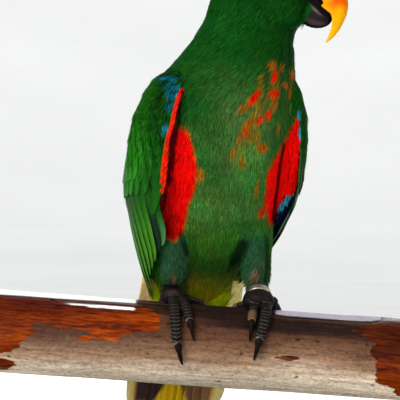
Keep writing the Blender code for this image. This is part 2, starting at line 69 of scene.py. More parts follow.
# The point the head's feathers lie away from: left, ahead, height
FACE = (0.0, 37.0, 212.0)

# Body's middle line: height, forward, toward the left, mean radius
BODY_LINE = np.array([
    (-16.0, -61.0, 0.0, 4.0),
    (-8.0, -57.0, 0.0, 11.0),
    (6.0, -47.0, 0.0, 19.0),
    (21.0, -34.0, 0.0, 27.0),
    (35.0, -25.0, 0.0, 34.0),
    (58.0, -11.0, 0.0, 42.0),
    (98.0, 1.5, 0.0, 48.0),
    (137.0, 10.0, 0.5, 46.0),
    (151.0, 15.0, 2.5, 42.0),
    (163.0, 20.5, 6.2, 37.0),
    (176.0, 26.0, 9.5, 32.0),
    (190.0, 31.0, 14.0, 28.0),
    (204.0, 34.5, 14.0, 25.0),
    (217.0, 36.5, 11.5, 20.0),
])

# Folded wing's outer face: height, forward, half width, half depth, front angle, back angle from the breast
WING = np.array([
    (155.0, 18.0, 43.5, 37.0, 68.0, 98.0),
    (151.0, 15.5, 49.0, 42.5, 57.0, 114.0),
    (143.0, 12.5, 54.5, 46.5, 51.0, 127.0),
    (127.0, 8.0, 61.0, 50.0, 50.0, 138.0),
    (112.0, 4.5, 63.2, 51.0, 49.0, 144.0),
    (96.0, 1.0, 63.6, 51.0, 48.5, 150.0),
    (81.0, -3.0, 63.0, 50.0, 50.0, 156.0),
    (66.0, -8.0, 60.0, 48.0, 54.0, 161.0),
    (50.0, -15.0, 54.0, 45.0, 58.0, 166.0),
    (36.0, -23.5, 47.5, 39.5, 61.0, 169.0),
    (25.0, -31.5, 41.5, 33.5, 70.0, 171.0),
    (14.0, -41.0, 34.0, 26.5, 100.0, 172.0),
    (0.0, -52.0, 26.5, 18.5, 112.0, 174.0),
    (-15.0, -59.0, 21.0, 14.5, 113.0, 175.0),
    (-30.0, -66.0, 16.0, 12.0, 113.0, 176.0),
    (-44.0, -72.5, 11.0, 9.5, 114.0, 176.0),
    (-54.0, -78.0, 6.5, 6.0, 120.0, 174.0),
])[::-1]

# Tail
TAIL_ROOT_FORWARD = -49.5
TAIL_ROOT_HEIGHT = 13.5
TAIL_LENGTH = 107.0
TAIL_LEAN = radians(22.0)
TAIL_FEATHERS = 12
TAIL_SIDE_DROP = 15.0


def linear(*screen):
    """A colour as the shaders need it, from its look on a screen."""
    value = np.asarray(screen, float) / 255
    return np.where(value <= 0.04045, value / 12.92, ((value + 0.055) / 1.055) ** 2.4)


def smooth(low, high, value):
    share = np.clip((value - low) / (high - low), 0, 1)
    return share * share * (3 - 2 * share)


def unit(rows):
    return rows / np.maximum(np.linalg.norm(rows, axis=-1, keepdims=True), 1e-9)


def mix(a, b, share):
    share = np.asarray(share)[..., None]
    return a * (1 - share) + b * share


def layered(colour, *layers):
    """A colour with others laid over it in turn; each layer is a colour and its share."""
    for over, share in layers:
        colour = mix(colour, over, share)
    return colour


def stacked(*columns):
    return np.stack(np.broadcast_arrays(*columns), axis=-1)


def body_point(left, forward, height):
    return stacked(
        BODY_MIDDLE_X + left * cos(BODY_YAW) + forward * sin(BODY_YAW),
        left * sin(BODY_YAW) - forward * cos(BODY_YAW),
        RAIL_TOP + height,
    )


def head_point(left, ahead, height):
    return stacked(
        HEAD_X + ahead * sin(HEAD_YAW) + left * cos(HEAD_YAW),
        HEAD_Y - ahead * cos(HEAD_YAW) + left * sin(HEAD_YAW),
        RAIL_TOP + height,
    )


def rail_point(along, angle, distance):
    """A point near the rail: place along its axis, angle from its top toward the viewer, distance."""
    turn = np.radians(angle)
    up = distance * np.cos(turn)
    return stacked(
        along * cos(RAIL_SLOPE) + up * sin(RAIL_SLOPE),
        -distance * np.sin(turn),
        RAIL_AXIS_HEIGHT - along * sin(RAIL_SLOPE) + up * cos(RAIL_SLOPE),
    )


def in_body(points):
    """Left, forward and height, as the bird's body has them, of points in the world."""
    x = points[..., 0] - BODY_MIDDLE_X
    y = points[..., 1]
    left = x * cos(BODY_YAW) + y * sin(BODY_YAW)
    return left, x * sin(BODY_YAW) - y * cos(BODY_YAW), points[..., 2] - RAIL_TOP


def in_head(points):
    x = points[..., 0] - HEAD_X
    y = points[..., 1] - HEAD_Y
    left = x * cos(HEAD_YAW) + y * sin(HEAD_YAW)
    return left, x * sin(HEAD_YAW) - y * cos(HEAD_YAW), points[..., 2] - RAIL_TOP


# Materials


class Look:
    """A material whose nodes are added one call at a time."""

    def __init__(self, name, **sockets):
        self.material = bpy.data.materials.new(name)
        self.material.use_nodes = True
        self.tree = self.material.node_tree
        self.shader = self.tree.nodes["Principled BSDF"]
        for socket, value in sockets.items():
            self.shader.inputs[socket.replace("_", " ")].default_value = value

    def add(self, kind, inputs=None, **settings):
        made = self.tree.nodes.new("ShaderNode" + kind)
        for setting, value in settings.items():
            setattr(made, setting, value)
        for socket, value in (inputs or {}).items():
            if isinstance(value, bpy.types.NodeSocket):
                self.tree.links.new(value, made.inputs[socket])
            else:
                made.inputs[socket].default_value = value
        return made

    def feed(self, socket, value):
        self.tree.links.new(value, self.shader.inputs[socket])

    def attribute(self, name):
        return self.add("Attribute", attribute_name=name)

    def place(self, stretch=(1.0, 1.0, 1.0), turn=(0.0, 0.0, 0.0)):
        """Positions in metres, turned and then stretched."""
        there = self.add("TexCoord").outputs["Object"]
        turned = self.add("Mapping", {"Vector": there, "Rotation": turn}).outputs["Vector"]
        return self.add("Mapping", {"Vector": turned, "Scale": stretch}).outputs["Vector"]

    def noise(self, scale, detail=4.0, stretch=(1.0, 1.0, 1.0), roughness=0.55, turn=(0.0, 0.0, 0.0)):
        return self.add("TexNoise", {
            "Vector": self.place(stretch, turn), "Scale": scale, "Detail": detail, "Roughness": roughness,
        }).outputs["Fac"]

    def math(self, operation, first, second=0.0, third=0.0, clamp=False):
        made = self.add("Math", operation=operation, use_clamp=clamp)
        for socket, value in zip(made.inputs, (first, second, third)):
            if isinstance(value, bpy.types.NodeSocket):
                self.tree.links.new(value, socket)
            else:
                socket.default_value = value
        return made.outputs[0]

    def ramp(self, value, *stops):
        """Colours or grey values at places along a value: (place, colour)."""
        made = self.add("ValToRGB", {"Fac": value})
        line = made.color_ramp.elements
        while len(line) < len(stops):
            line.new(0.5)
        for element, (where, colour) in zip(line, stops):
            element.position = where
            shade = [colour] * 3 if isinstance(colour, float) else linear(*colour)
            element.color = (*shade, 1.0)
        return made.outputs["Color"]

    def blend(self, share, first, second, kind="MIX"):
        made = self.add("Mix", data_type="RGBA", blend_type=kind)
        for index, value in ((0, share), (6, first), (7, second)):
            if isinstance(value, bpy.types.NodeSocket):
                self.tree.links.new(value, made.inputs[index])
            elif index == 0:
                made.inputs[index].default_value = value
            else:
                made.inputs[index].default_value = (*linear(*value), 1.0)
        return made.outputs[2]

    def total(self, *terms):
        """The sum of values, each times its weight."""
        *others, last = terms
        made = self.math("MULTIPLY", *last)
        for value, weight in reversed(others):
            made = self.math("MULTIPLY_ADD", value, weight, made)
        return made

    def coated(self, shade, colour=None):
        """The base colour: the vertex colours, or another colour, times a shade."""
        if colour is None:
            colour = self.attribute("Coat").outputs["Color"]
        self.feed("Base Color", self.blend(1.0, colour, shade, "MULTIPLY"))

    def bump(self, height, strength, distance):
        made = self.add("Bump", {"Height": height, "Strength": strength, "Distance": distance * MM})
        self.feed("Normal", made.outputs["Normal"])


def plumage_look():
    """Soft feather barbs: the vertex colours, a little broken up, with a weak sheen."""
    made = Look("plumage", Roughness=0.55, Specular_IOR_Level=0.02)
    made.coated(made.ramp(made.noise(900.0, 3.0), (0.3, 0.78), (0.7, 1.16)))
    return made.material


def vane_look():
    """Smooth vanes with fine slanting barbs on either side of the shaft."""
    made = Look("vane", Roughness=0.45, Specular_IOR_Level=0.04)
    barb = made.attribute("Barb").outputs["Fac"]
    strands = made.add("TexNoise", {"W": barb, "Scale": 1.5, "Detail": 3.0}, noise_dimensions="1D")
    uneven = made.total((strands.outputs["Fac"], 0.7), (made.noise(420.0, 3.0), 0.3))
    made.coated(made.ramp(uneven, (0.34, 0.6), (0.5, 0.95), (0.66, 1.3)))
    made.bump(uneven, 0.5, 0.25)
    return made.material


def skin_look():
    """Under the plumage the skin carries the same markings, with down and pores."""
    made = Look("skin", Roughness=0.75, Specular_IOR_Level=0.08)
    fine = made.noise(1500.0, 5.0)
    made.coated(made.ramp(fine, (0.3, 0.6), (0.7, 1.1)))
    made.bump(fine, 0.6, 0.4)
    return made.material


def foot_look():
    """Dry dark scales with pale rims."""
    made = Look("foot_skin", Roughness=0.55, Specular_IOR_Level=0.09)
    colour = made.attribute("Coat").outputs["Color"]
    cells = made.add("TexVoronoi", {"Vector": made.place(), "Scale": 850.0}, feature="DISTANCE_TO_EDGE")
    rim = made.ramp(cells.outputs["Distance"], (0.0, 1.0), (0.12, 0.0))
    fine = made.noise(1800.0, 4.0)
    dusty = made.blend(made.math("MULTIPLY", rim, 0.08), colour, (110, 98, 88))
    made.coated(made.ramp(fine, (0.3, 0.38), (0.7, 0.72)), dusty)
    made.feed("Roughness", made.ramp(fine, (0.3, 0.42), (0.7, 0.66)))
    raised = made.math("SUBTRACT", made.math("MULTIPLY", fine, 0.4), rim)
    made.bump(raised, 0.55, 0.3)
    return made.material


def horn_look(name, roughness, coat, streaks):
    """Polished horn with faint growth lines."""
    made = Look(name, Roughness=roughness, Specular_IOR_Level=0.04,
                Coat_Weight=0.25 * coat, Coat_Roughness=0.2)
    cloudy = made.noise(160.0, 5.0)
    fine = made.noise(900.0, 3.0, streaks)
    made.coated(made.ramp(made.total((fine, 0.4), (cloudy, 0.6)), (0.3, 0.8), (0.7, 1.12)))
    made.feed("Roughness", made.ramp(fine, (0.3, roughness), (0.7, roughness + 0.16)))
    made.bump(fine, 0.25, 0.15)
    return made.material


def eye_look():
    made = Look("eye", Roughness=0.08, Specular_IOR_Level=0.25, Coat_Weight=0.3, Coat_Roughness=0.03)
    made.coated(made.ramp(made.noise(2500.0, 4.0), (0.3, 0.7), (0.7, 1.2)))
    return made.material


def metal_look(name, dark, pale, roughness, stretch, scratch=0.35):
    """Bare metal, brushed along one direction and a little stained."""
    made = Look(name, Metallic=1.0, Roughness=roughness)
    stain = made.noise(140.0, 5.0)
    brushed = made.noise(500.0, 3.0, stretch)
    both = made.total((brushed, 0.5), (stain, 0.5))
    made.feed("Base Color", made.ramp(both, (0.3, dark), (0.65, pale)))
    made.feed("Roughness", made.ramp(both, (0.3, roughness + 0.2), (0.7, roughness)))
    made.bump(brushed, scratch, 0.08)
    return made.material


def paint_look():
    """Dark satin paint with a fine orange peel and a little dust."""
    made = Look("stand_paint", Roughness=0.42, Specular_IOR_Level=0.4)
    peel = made.noise(700.0, 2.0)
    cloud = made.noise(22.0, 6.0)
    dusty = made.ramp(cloud, (0.3, (44, 45, 47)), (0.55, (54, 55, 57)), (0.75, (66, 66, 66)))
    made.feed("Base Color", dusty)
    made.feed("Roughness", made.ramp(cloud, (0.3, 0.36), (0.75, 0.55)))
    made.bump(peel, 0.25, 0.12)
    return made.material


def wood_look():
    """Weathered rail wood with long grain and specks, under what is left of its varnish."""
    turn = (0.0, -RAIL_SLOPE, 0.0)
    made = Look("rail_wood", Roughness=0.7, Specular_IOR_Level=0.06)
    colour = made.attribute("Coat").outputs["Color"]
    grain = made.noise(160.0, 5.0, (0.07, 1.0, 1.0), 0.65, turn)
    fine = made.noise(620.0, 4.0, (0.16, 1.0, 1.0), 0.6, turn)
    speck = made.noise(900.0, 2.0, (0.5, 1.0, 1.0), 0.6, turn)
    mottle = made.noise(760.0, 3.0, (0.5, 1.0, 1.0), 0.7, turn)
    mixed = made.total((fine, 0.35), (mottle, 0.4), (grain, 0.25))
    shade = made.ramp(mixed, (0.38, 0.46), (0.48, 0.88), (0.60, 1.28))
    edge = made.attribute("Varnish").outputs["Fac"]
    # A varnish value below zero marks painted highlight; there the grain's shade and the specks are left
    # off
    outside_highlight = made.math("ADD", edge, 1.0, clamp=True)
    wood = made.blend(outside_highlight, colour, shade, "MULTIPLY")
    dots = made.ramp(speck, (0.33, 1.0), (0.39, 0.0))
    wood = made.blend(made.math("MULTIPLY", made.math("MULTIPLY", dots, 0.55), outside_highlight), wood, (64, 42, 28))
    ragged = made.noise(210.0, 5.0, (0.22, 1.0, 1.0), 0.6, turn)
    reach = made.math("MULTIPLY_ADD", ragged, 1.7, edge)
    cover = made.ramp(made.math("SUBTRACT", reach, 0.3), (0.975, 0.0), (1.0, 1.0))
    streak = made.ramp(
        made.total((fine, 0.5), (grain, 0.5)),
        (0.38, (64, 18, 7)), (0.46, (108, 36, 8)), (0.54, (140, 56, 6)), (0.64, (172, 84, 10)))
    tint = made.attribute("Tint").outputs["Color"]
    varnish = made.blend(1.0, streak, tint, "MULTIPLY")
    made.feed("Base Color", made.blend(cover, wood, varnish))
    uneven = made.math("MULTIPLY_ADD", fine, 0.2, cover)
    made.feed("Roughness", made.ramp(uneven, (0.05, 0.72), (0.95, 0.16), (1.0, 0.26)))
    made.bump(made.total((cover, 0.9), (shade, 0.55)), 0.7, 0.45)
    return made.material


# Meshes


def linked(name, data):
    """A new object in the scene."""
    made = bpy.data.objects.new(name, data)
    bpy.context.scene.collection.objects.link(made)
    return made


def set_look(mesh, look):
    mesh.materials.clear()
    mesh.materials.append(look)


def build(name, points, faces, look, colours=None, places=None, **values):
    """An object from arrays: points, lists of triangles or quads, and what each point carries."""
    mesh = bpy.data.meshes.new(name)
    points = np.asarray(points, np.float32).reshape(-1, 3) * MM
    corners = np.concatenate([block.ravel() for block in faces]).astype(np.int32)
    sizes = np.concatenate([np.full(len(block), block.shape[1], np.int32) for block in faces])
    mesh.vertices.add(len(points))
    mesh.vertices.foreach_set("co", points.ravel())
    mesh.loops.add(len(corners))
    mesh.loops.foreach_set("vertex_index", corners)
    mesh.polygons.add(len(sizes))
    mesh.polygons.foreach_set("loop_start", np.concatenate([[0], np.cumsum(sizes)[:-1]]).astype(np.int32))
    mesh.polygons.foreach_set("loop_total", sizes)
    mesh.polygons.foreach_set("use_smooth", np.ones(len(sizes), bool))
    mesh.update(calc_edges=True)
    mesh.validate()
    paint_points(mesh, colours, places, **values)
    mesh.materials.append(look)
    return linked(name, mesh)


def paint_points(mesh, colours=None, places=None, tints=None, **values):
    for name, shades in (("Coat", colours), ("Tint", tints)):
        if shades is not None:
            layer = mesh.color_attributes.new(name, "FLOAT_COLOR", "POINT")
            rows = np.ones((len(mesh.vertices), 4), np.float32)
            rows[:, :3] = np.asarray(shades).reshape(-1, 3)
            layer.data.foreach_set("color", rows.ravel())
    for name, numbers in values.items():
        layer = mesh.attributes.new(name, "FLOAT", "POINT")
        layer.data.foreach_set("value", np.asarray(numbers, np.float32).ravel())
    if places is not None:
        corners = np.empty(len(mesh.loops), np.int32)
        mesh.loops.foreach_get("vertex_index", corners)
        layer = mesh.uv_layers.new(name="OFBake")
        layer.data.foreach_set("uv", np.asarray(places, np.float32).reshape(-1, 2)[corners].ravel())


def declare(piece, slot, *nodes):
    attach(piece, "root")
    if nodes:
        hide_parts(*nodes)


def grid_faces(rows, columns, closed=False, start=0):
    """Quads over a grid of points, joined round if closed."""
    across = columns if closed else columns - 1
    i, j = np.meshgrid(np.arange(rows - 1), np.arange(across), indexing="ij")
    a = start + i * columns + j
    b = start + i * columns + (j + 1) % columns
    return np.stack([a, b, b + columns, a + columns], axis=-1).reshape(-1, 4)


def node_shape(names):
    shape = bmesh.new()
    for name in names:
        shape.from_mesh(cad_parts[name].data)
    return shape


def node_mesh(*names):
    """A loose mesh object that joins copies of the named CAD nodes."""
    shape = node_shape(names)
    mesh = bpy.data.meshes.new("form")
    shape.to_mesh(mesh)
    shape.free()
    return linked("form", mesh)


def refined(obj, voxel, rounds):
    """Replaces the mesh by its even, closed and smoothed remesh."""
    remesh = obj.modifiers.new("even", "REMESH")
    remesh.mode = "VOXEL"
    remesh.voxel_size = voxel * MM
    even = obj.modifiers.new("soft", "SMOOTH")
    even.factor = 0.5
    even.iterations = rounds
    bpy.context.view_layer.update()
    result = bpy.data.meshes.new_from_object(obj.evaluated_get(bpy.context.evaluated_depsgraph_get()))
    obj.modifiers.clear()
    obj.data = result
    result.polygons.foreach_set("use_smooth", np.ones(len(result.polygons), bool))
    return obj


def rows_of(mesh, kind):
    rows = np.empty(len(mesh.vertices) * 3, np.float32)
    mesh.vertices.foreach_get(kind, rows)
    return rows.reshape(-1, 3)


def points_of(mesh):
    return rows_of(mesh, "co") / MM


def normals_of(mesh):
    return rows_of(mesh, "normal")


def move_points(mesh, points):
    mesh.vertices.foreach_set("co", (np.asarray(points, np.float32) * MM).ravel())
    mesh.update()


class Solid:
    """Distances to CAD nodes, in millimetres."""

    def __init__(self, *names):
        shape = node_shape(names)
        self.tree = BVHTree.FromBMesh(shape)
        shape.free()

    def distance(self, points):
        return np.array([self.tree.find_nearest(Vector(p) * MM)[3] for p in points]) / MM


BILLS = Solid("bill_upper", "bill_lower")
EYES = Solid("eye_left", "eye_right")


# Skin

FLESH = ["head", "neck", "trunk", "thigh_left", "thigh_right"]
COAT_VOXEL = 1.5
SKIN_VOXEL = 1.8
FOOT_VOXEL = 0.42
CLAW_VOXEL = 0.22
# The skin is darker than the feathers over it
SKIN_SHADE = 0.6


def coat_form():
    """The plumage's outer form, head to vent with the wings' thick parts, as one closed surface."""
    return refined(node_mesh(*FLESH, "wing_left", "wing_right"), COAT_VOXEL, 8)


def coat_depth(points):
    """How far the skin lies inside the plumage's outer form."""
    _, ahead, height = in_head(points)
    forward = in_body(points)[1]
    depth = np.full(len(points), 2.2)
    depth = depth - 1.0 * smooth(185, 205, height) - 0.4 * smooth(12, 26, ahead) * smooth(195, 205, height)
    depth = depth - 0.9 * smooth(40, 22, height) * smooth(-22, -8, forward)
    near = np.minimum(BILLS.distance(points), EYES.distance(points))
    return depth * smooth(0.2, 5.0, near)


def make_skin(outer):
    made = linked("skin", outer.data.copy())
    points = points_of(made.data)
    move_points(made.data, points - normals_of(made.data) * coat_depth(points)[:, None])
    return refined(made, SKIN_VOXEL, 3)


# Markings seen from the front: X, and height over the rail

SIDE_RED = [(-16.5, 118.5), (-9, 117), (-5.5, 106), (-3.5, 97), (-1.0, 88), (-5, 76), (-9, 66), (-10.5, 56),
            (-12, 48), (-17, 43.5), (-24, 46), (-28, 60), (-28, 76), (-23, 96), (-19, 112)]
FAR_SIDE_RED = [(65, 124), (59.5, 113), (54, 103), (50, 96), (46, 87), (44.5, 66), (48, 54), (54, 58),
                (64, 76), (68, 100), (68, 118)]
FAR_WING_RED = [(64.5, 125), (66.5, 120), (66.5, 111), (67.8, 86), (64, 76), (57, 71), (50, 64), (49, 82),
                (52, 104), (60, 113)]
# Blue feathers on the far wing: middle, half width, half length, turn
FAR_BLUES = [((66.6, 125.5), 1.5, 4.0, 0), ((67.2, 114.0), 1.0, 5.5, 0), ((58.0, 68.8), 1.7, 6.0, 48),
             ((53.5, 64.0), 3.0, 3.0, 0)]
# Painted shade in folds and shaded hollows: how far each reaches to the side, how dark it is, and its line
PAINTED_SHADE_LINES = [
    (2.8, 0.62, [(-24, 153.5), (-20.5, 156.5), (-16, 155.5), (-12.8, 150), (-12.4, 138)]),
    (2.3, 0.85, [(-12.4, 138), (-14.0, 122), (-16.2, 112), (-17.9, 102), (-20.2, 91.7), (-23.6, 77)]),
    (2.0, 0.85, [(-23.6, 77), (-26.6, 62), (-25.4, 47)]),
    (2.0, 0.92, [(57, 108), (54.4, 96), (52.8, 80), (51.2, 66), (50.2, 56)]),
    (3.0, 0.7, [(-12.5, 47), (-8.7, 35.2), (-5.2, 24), (-6.0, 12)]),
    (3.4, 0.7, [(-31.5, 34), (-28.5, 22), (-26.5, 8)]),
    (6.0, 0.8, [(8, 27), (16, 25), (24, 29), (29, 40)]),
    (2.2, 0.6, [(45.5, 44), (45.8, 30), (44.5, 18)]),
]
# Flecks of the breast: middle, half width, half length, turn, and how red they are
FLECKS = [
    ((50.8, 152.5), 1.9, 4.2, 10, 0.9),
    ((48.9, 159.5), 2.0, 2.6, 0, 0.42),
    ((41.8, 151.0), 1.4, 2.4, 20, 0.3),
    ((37.6, 139.2), 2.3, 6.4, 38, 0.8),
    ((30.0, 132.0), 1.7, 4.2, 52, 0.4),
    ((50.4, 141.2), 3.0, 2.7, 0, 0.8),
    ((50.0, 133.5), 2.2, 2.6, 0, 0.45),
    ((46.2, 127.0), 1.9, 3.2, 20, 0.85),
    ((40.0, 124.2), 1.9, 3.6, 50, 0.72),
    ((33.0, 121.4), 2.2, 4.4, 50, 0.4),
    ((29.3, 114.2), 2.4, 4.6, 36, 0.5),
    ((36.5, 112.5), 2.0, 4.0, 60, 0.12),
    ((41.9, 105.6), 3.4, 2.5, 0, 0.35),
    ((22.3, 102.5), 1.8, 2.7, 20, 0.15),
    ((28.8, 95.5), 1.6, 2.6, 0, 0.1),
    ((38.5, 77.8), 1.2, 4.2, 8, 0.1),
    ((58.3, 147.2), 3.2, 1.2, 0, 0.42),
    ((60.8, 141.7), 0.9, 2.7, 0, 0.6),
    ((62.4, 154.5), 1.4, 2.6, 0, 0.35),
    ((55.4, 158.0), 1.1, 2.0, 0, 0.5),
    ((53.0, 118.0), 0.9, 2.5, 0, 0.12),
    ((0.7, 87.0), 1.9, 3.2, 0, 0.5),
    ((42.0, 62.0), 2.0, 3.2, 20, 0.7),
]
# Broad hazes of brown and olive strokes around them
HAZES = [((40.0, 133.0), 7.0, 13.0, 35), ((35.0, 119.0), 6.5, 15.0, 48), ((50.5, 145.0), 4.6, 15.0, 2),
         ((26.0, 101.0), 5.0, 8.0, 10)]

GREENS = {
    "neck": linear(12, 66, 12),
    "nape": linear(2, 66, 8),
    "breast": linear(42, 84, 28),
    "grey": linear(64, 100, 46),
    "low": linear(68, 114, 44),
    "belly": linear(48, 100, 24),
    "thigh": linear(40, 76, 44),
    "back": linear(14, 88, 22),
    "rump": linear(36, 124, 32),
    "vent": linear(150, 136, 8),
}
RED = linear(226, 6, 2)
DEEP_RED = linear(176, 3, 3)
ORANGE = linear(156, 54, 4)
OLIVE = linear(116, 100, 14)


def from_line(x, z, start, end):
    """How far each point is from the straight line between two others."""
    (ax, az), (bx, bz) = start, end
    dx, dz = bx - ax, bz - az
    share = np.clip(((x - ax) * dx + (z - az) * dz) / (dx ** 2 + dz ** 2), 0, 1)
    return np.hypot(x - ax - share * dx, z - az - share * dz)


def inside(outline, x, z):
    """Signed distance into a closed outline, more than zero inside it."""
    corners = np.array(outline, float)
    nearest = np.full(x.shape, 1e9)
    within = np.zeros(x.shape, bool)
    for (ax, az), (bx, bz) in zip(corners, np.roll(corners, -1, axis=0)):
        nearest = np.minimum(nearest, from_line(x, z, (ax, az), (bx, bz)))
        crosses = (az > z) != (bz > z)
        within ^= crosses & (x < ax + (z - az) / np.where(bz == az, 1, bz - az) * (bx - ax))
    return np.where(within, nearest, -nearest)


def oval(x, z, half_width, half_length, turn):
    """Distance from the middle of a turned oval, as a share of its size."""
    c, s = cos(radians(turn)), sin(radians(turn))
    return np.hypot((x * c - z * s) / half_width, (x * s + z * c) / half_length)


def markings(points, facing):
    """How red each point is, how much of the edge fringe it has, and the tone of the red, from 0 to 1."""
    x = points[..., 0]
    z = points[..., 2] - RAIL_TOP
    front = facing[..., 1] < 0.35
    depth = np.maximum(inside(SIDE_RED, x, z), inside(FAR_SIDE_RED, x, z))
    red = smooth(-0.6, 0.8, depth)
    fringe = smooth(-3.0, -0.6, depth)
    tone = np.ones(x.shape)
    closest = np.full(x.shape, 2.2)
    for (cx, cz), half_width, half_length, turn, share in FLECKS:
        reach = oval(x - cx, z - cz, half_width, half_length, turn)
        red = np.maximum(red, smooth(1.25, 0.45, reach))
        fringe = np.maximum(fringe, 0.85 * smooth(2.1, 1.0, reach))
        tone = np.where(reach < closest, share, tone)
        closest = np.minimum(closest, reach)
    for (cx, cz), half_width, half_length, turn in HAZES:
        haze = 0.62 * smooth(1.3, 0.5, oval(x - cx, z - cz, half_width, half_length, turn))
        tone = np.where((haze > fringe) & (closest > 2.1), 0.2, tone)
        fringe = np.maximum(fringe, haze)
    return red * front, fringe * front, tone


def painted_crease_shade(points):
    """How much painted shade each point takes in the folds between wing and body and the shaded hollows,
    from 0 to 1.
    """
    x = points[..., 0]
    z = points[..., 2] - RAIL_TOP
    shade_depth = np.zeros(x.shape)
    for reach, deep, line in PAINTED_SHADE_LINES:
        for start, end in zip(line, line[1:]):
            away = from_line(x, z, start, end)
            shade_depth = np.maximum(shade_depth, deep * smooth(reach, 0.25 * reach, away))
    return shade_depth * (points[..., 1] < np.where(x < 20, -14, 25))


def body_green(points):
    """The plumage's ground colour over head, neck, body and thighs."""
    side, forward, height = in_body(points)
    x, y, z = (points[..., k] for k in range(3))
    front = smooth(-6, 10, forward - np.interp(height, BODY_LINE[:, 0], BODY_LINE[:, 1]))
    centre = smooth(26, 6, np.abs(side - 4)) * smooth(70, 105, height) * smooth(150, 125, height) * front
    patch = smooth(17, 6, np.hypot(x - 34, (height - 93) / 1.5))
    leg = np.maximum(smooth(12, 8, np.abs(x + 17.5)), smooth(11, 7, np.abs(x - 37)))
    under = smooth(24, 6, height) * smooth(-66, -40, forward) * smooth(30, 18, np.abs(side))
    colour = layered(
        GREENS["back"],
        (GREENS["breast"], front),
        (GREENS["grey"], 0.75 * centre),
        (GREENS["neck"], 0.85 * smooth(104, 130, height) * smooth(22, -6, x)),
        (GREENS["low"], 0.55 * smooth(88, 66, height) * front),
        (linear(66, 126, 46), 0.6 * patch * front),
        (GREENS["belly"], smooth(62, 40, height) * front),
        (linear(24, 56, 14), 0.7 * smooth(44, 24, height) * front),
        (GREENS["thigh"], leg * smooth(52, 40, height) * smooth(-30, -18, forward)),
        (GREENS["rump"], smooth(60, 25, height) * (1 - front)),
        (GREENS["vent"], under * (1 - 0.9 * leg)),
        (GREENS["neck"], smooth(140, 172, height)),
        (GREENS["nape"], smooth(205, 225, height)),
    )
    drift = np.sin(x / 9.0 + 2.1 * np.sin(z / 17.0)) * np.sin(z / 12.0 + 1.7 * np.sin(y / 13.0))
    drift = drift + 0.4 * np.sin(x / 4.1 + z / 5.3)
    colour = colour * mix(np.array([1.25, 0.95, 1.0]), np.array([0.75, 1.05, 1.25]), 0.5 + 0.4 * drift)
    right_bare = smooth(2.6, 1.0, np.hypot(x + 17.5, (height - 17) / 2.4))
    left_bare = smooth(3.4, 1.6, np.hypot(x - 37.5, (height - 19) / 2.0))
    return mix(colour, linear(112, 76, 62), 0.65 * np.maximum(right_bare, left_bare) * (y < 5))


def body_colours(points, facing, luck):
    """Ground colour and markings; luck between 0 and 1 breaks their edges up."""
    colour = body_green(points)
    red, fringe, tone = markings(points, facing)
    rim = mix(OLIVE, ORANGE, smooth(0.4, 1.0, fringe) * (0.2 + 0.8 * tone))
    colour = mix(colour, rim, (fringe > 0.25 + 0.6 * luck) * 0.85)
    full = mix(DEEP_RED, RED, smooth(0.0, 0.6, luck))
    x, height = points[..., 0], points[..., 2] - RAIL_TOP
    shaded = smooth(-14, -20, x) * smooth(-32, -24, x)
    full = mix(full, linear(136, 2, 4), 0.7 * shaded)
    ripe = smooth(0.35 + 0.4 * luck, 0.6 + 0.4 * luck, tone)
    full = mix(mix(OLIVE, ORANGE, smooth(0.0, 0.5, tone)), full, ripe)
    full = full * (1 + 0.55 * (x > 44) - 0.36 * smooth(68, 52, height) * (x < 20))[..., None]
    colour = mix(colour, full, red > 0.2 + 0.6 * luck + 0.4 * (luck > 0.5) * (tone < 0.6))
    # Painted shade in the folds between wing and body and in the shaded hollows
    return colour * (1 - painted_crease_shade(points))[..., None]


# Lie of the plumage


def over_surface(lie, facing):
    """Directions turned so that they run along the surface."""
    return unit(lie - facing * np.sum(lie * facing, axis=1, keepdims=True))


def lie_of(points, facing):
    """The direction the feathers point, along the surface."""
    side, forward, height = in_body(points)
    _, ahead, _ = in_head(points)
    rows = BODY_LINE.T
    middle = [np.interp(height, rows[0], row) for row in rows[1:3]]
    step = 3.0
    lower = [np.interp(height - step, rows[0], row) for row in rows[1:4]]
    radius = np.interp(height, rows[0], rows[3])
    out = unit(np.stack([side - middle[1], forward - middle[0]], axis=-1))
    twist = (HEAD_YAW - BODY_YAW) * (smooth(120, 205, height) - smooth(120, 205, height - step))
    around = np.stack([out[:, 1], -out[:, 0]], axis=-1)
    moved = out * (lower[2] - radius)[:, None] - around * (radius * twist)[:, None]
    moved[:, 0] += lower[1] - middle[1]
    moved[:, 1] += lower[0] - middle[0]
    down = body_point(moved[:, 0], moved[:, 1], -step) - body_point(0, 0, 0)
    back = points - head_point(*FACE)
    share = smooth(188, 206, height) * smooth(-30, -12, ahead) + smooth(212, 222, height)
    return over_surface(mix(unit(down), unit(back), np.clip(share, 0, 1)), facing)


# Plumage in tufts


def unwrap_skin():
    """Lays the skin's own shape out flat, and returns a way to find places on it."""
    bpy.context.view_layer.objects.active = skin
    skin.select_set(True)
    bpy.ops.object.mode_set(mode="EDIT")
    bpy.ops.mesh.select_all(action="SELECT")
    bpy.ops.uv.smart_project(angle_limit=radians(66), island_margin=0.002)
    bpy.ops.object.mode_set(mode="OBJECT")
    skin.data.uv_layers[0].name = "OFBake"
    shape = bmesh.new()
    shape.from_mesh(skin.data)
    tree = BVHTree.FromBMesh(shape)
    layer = shape.loops.layers.uv[0]
    shape.faces.ensure_lookup_table()
    flat = np.array([
        np.mean([loop[layer].uv[:] for loop in face.loops], axis=0) for face in shape.faces
    ])
    shape.free()

    def places(points):
        return flat[[tree.find_nearest(Vector(p) * MM)[2] for p in points]]

    return places


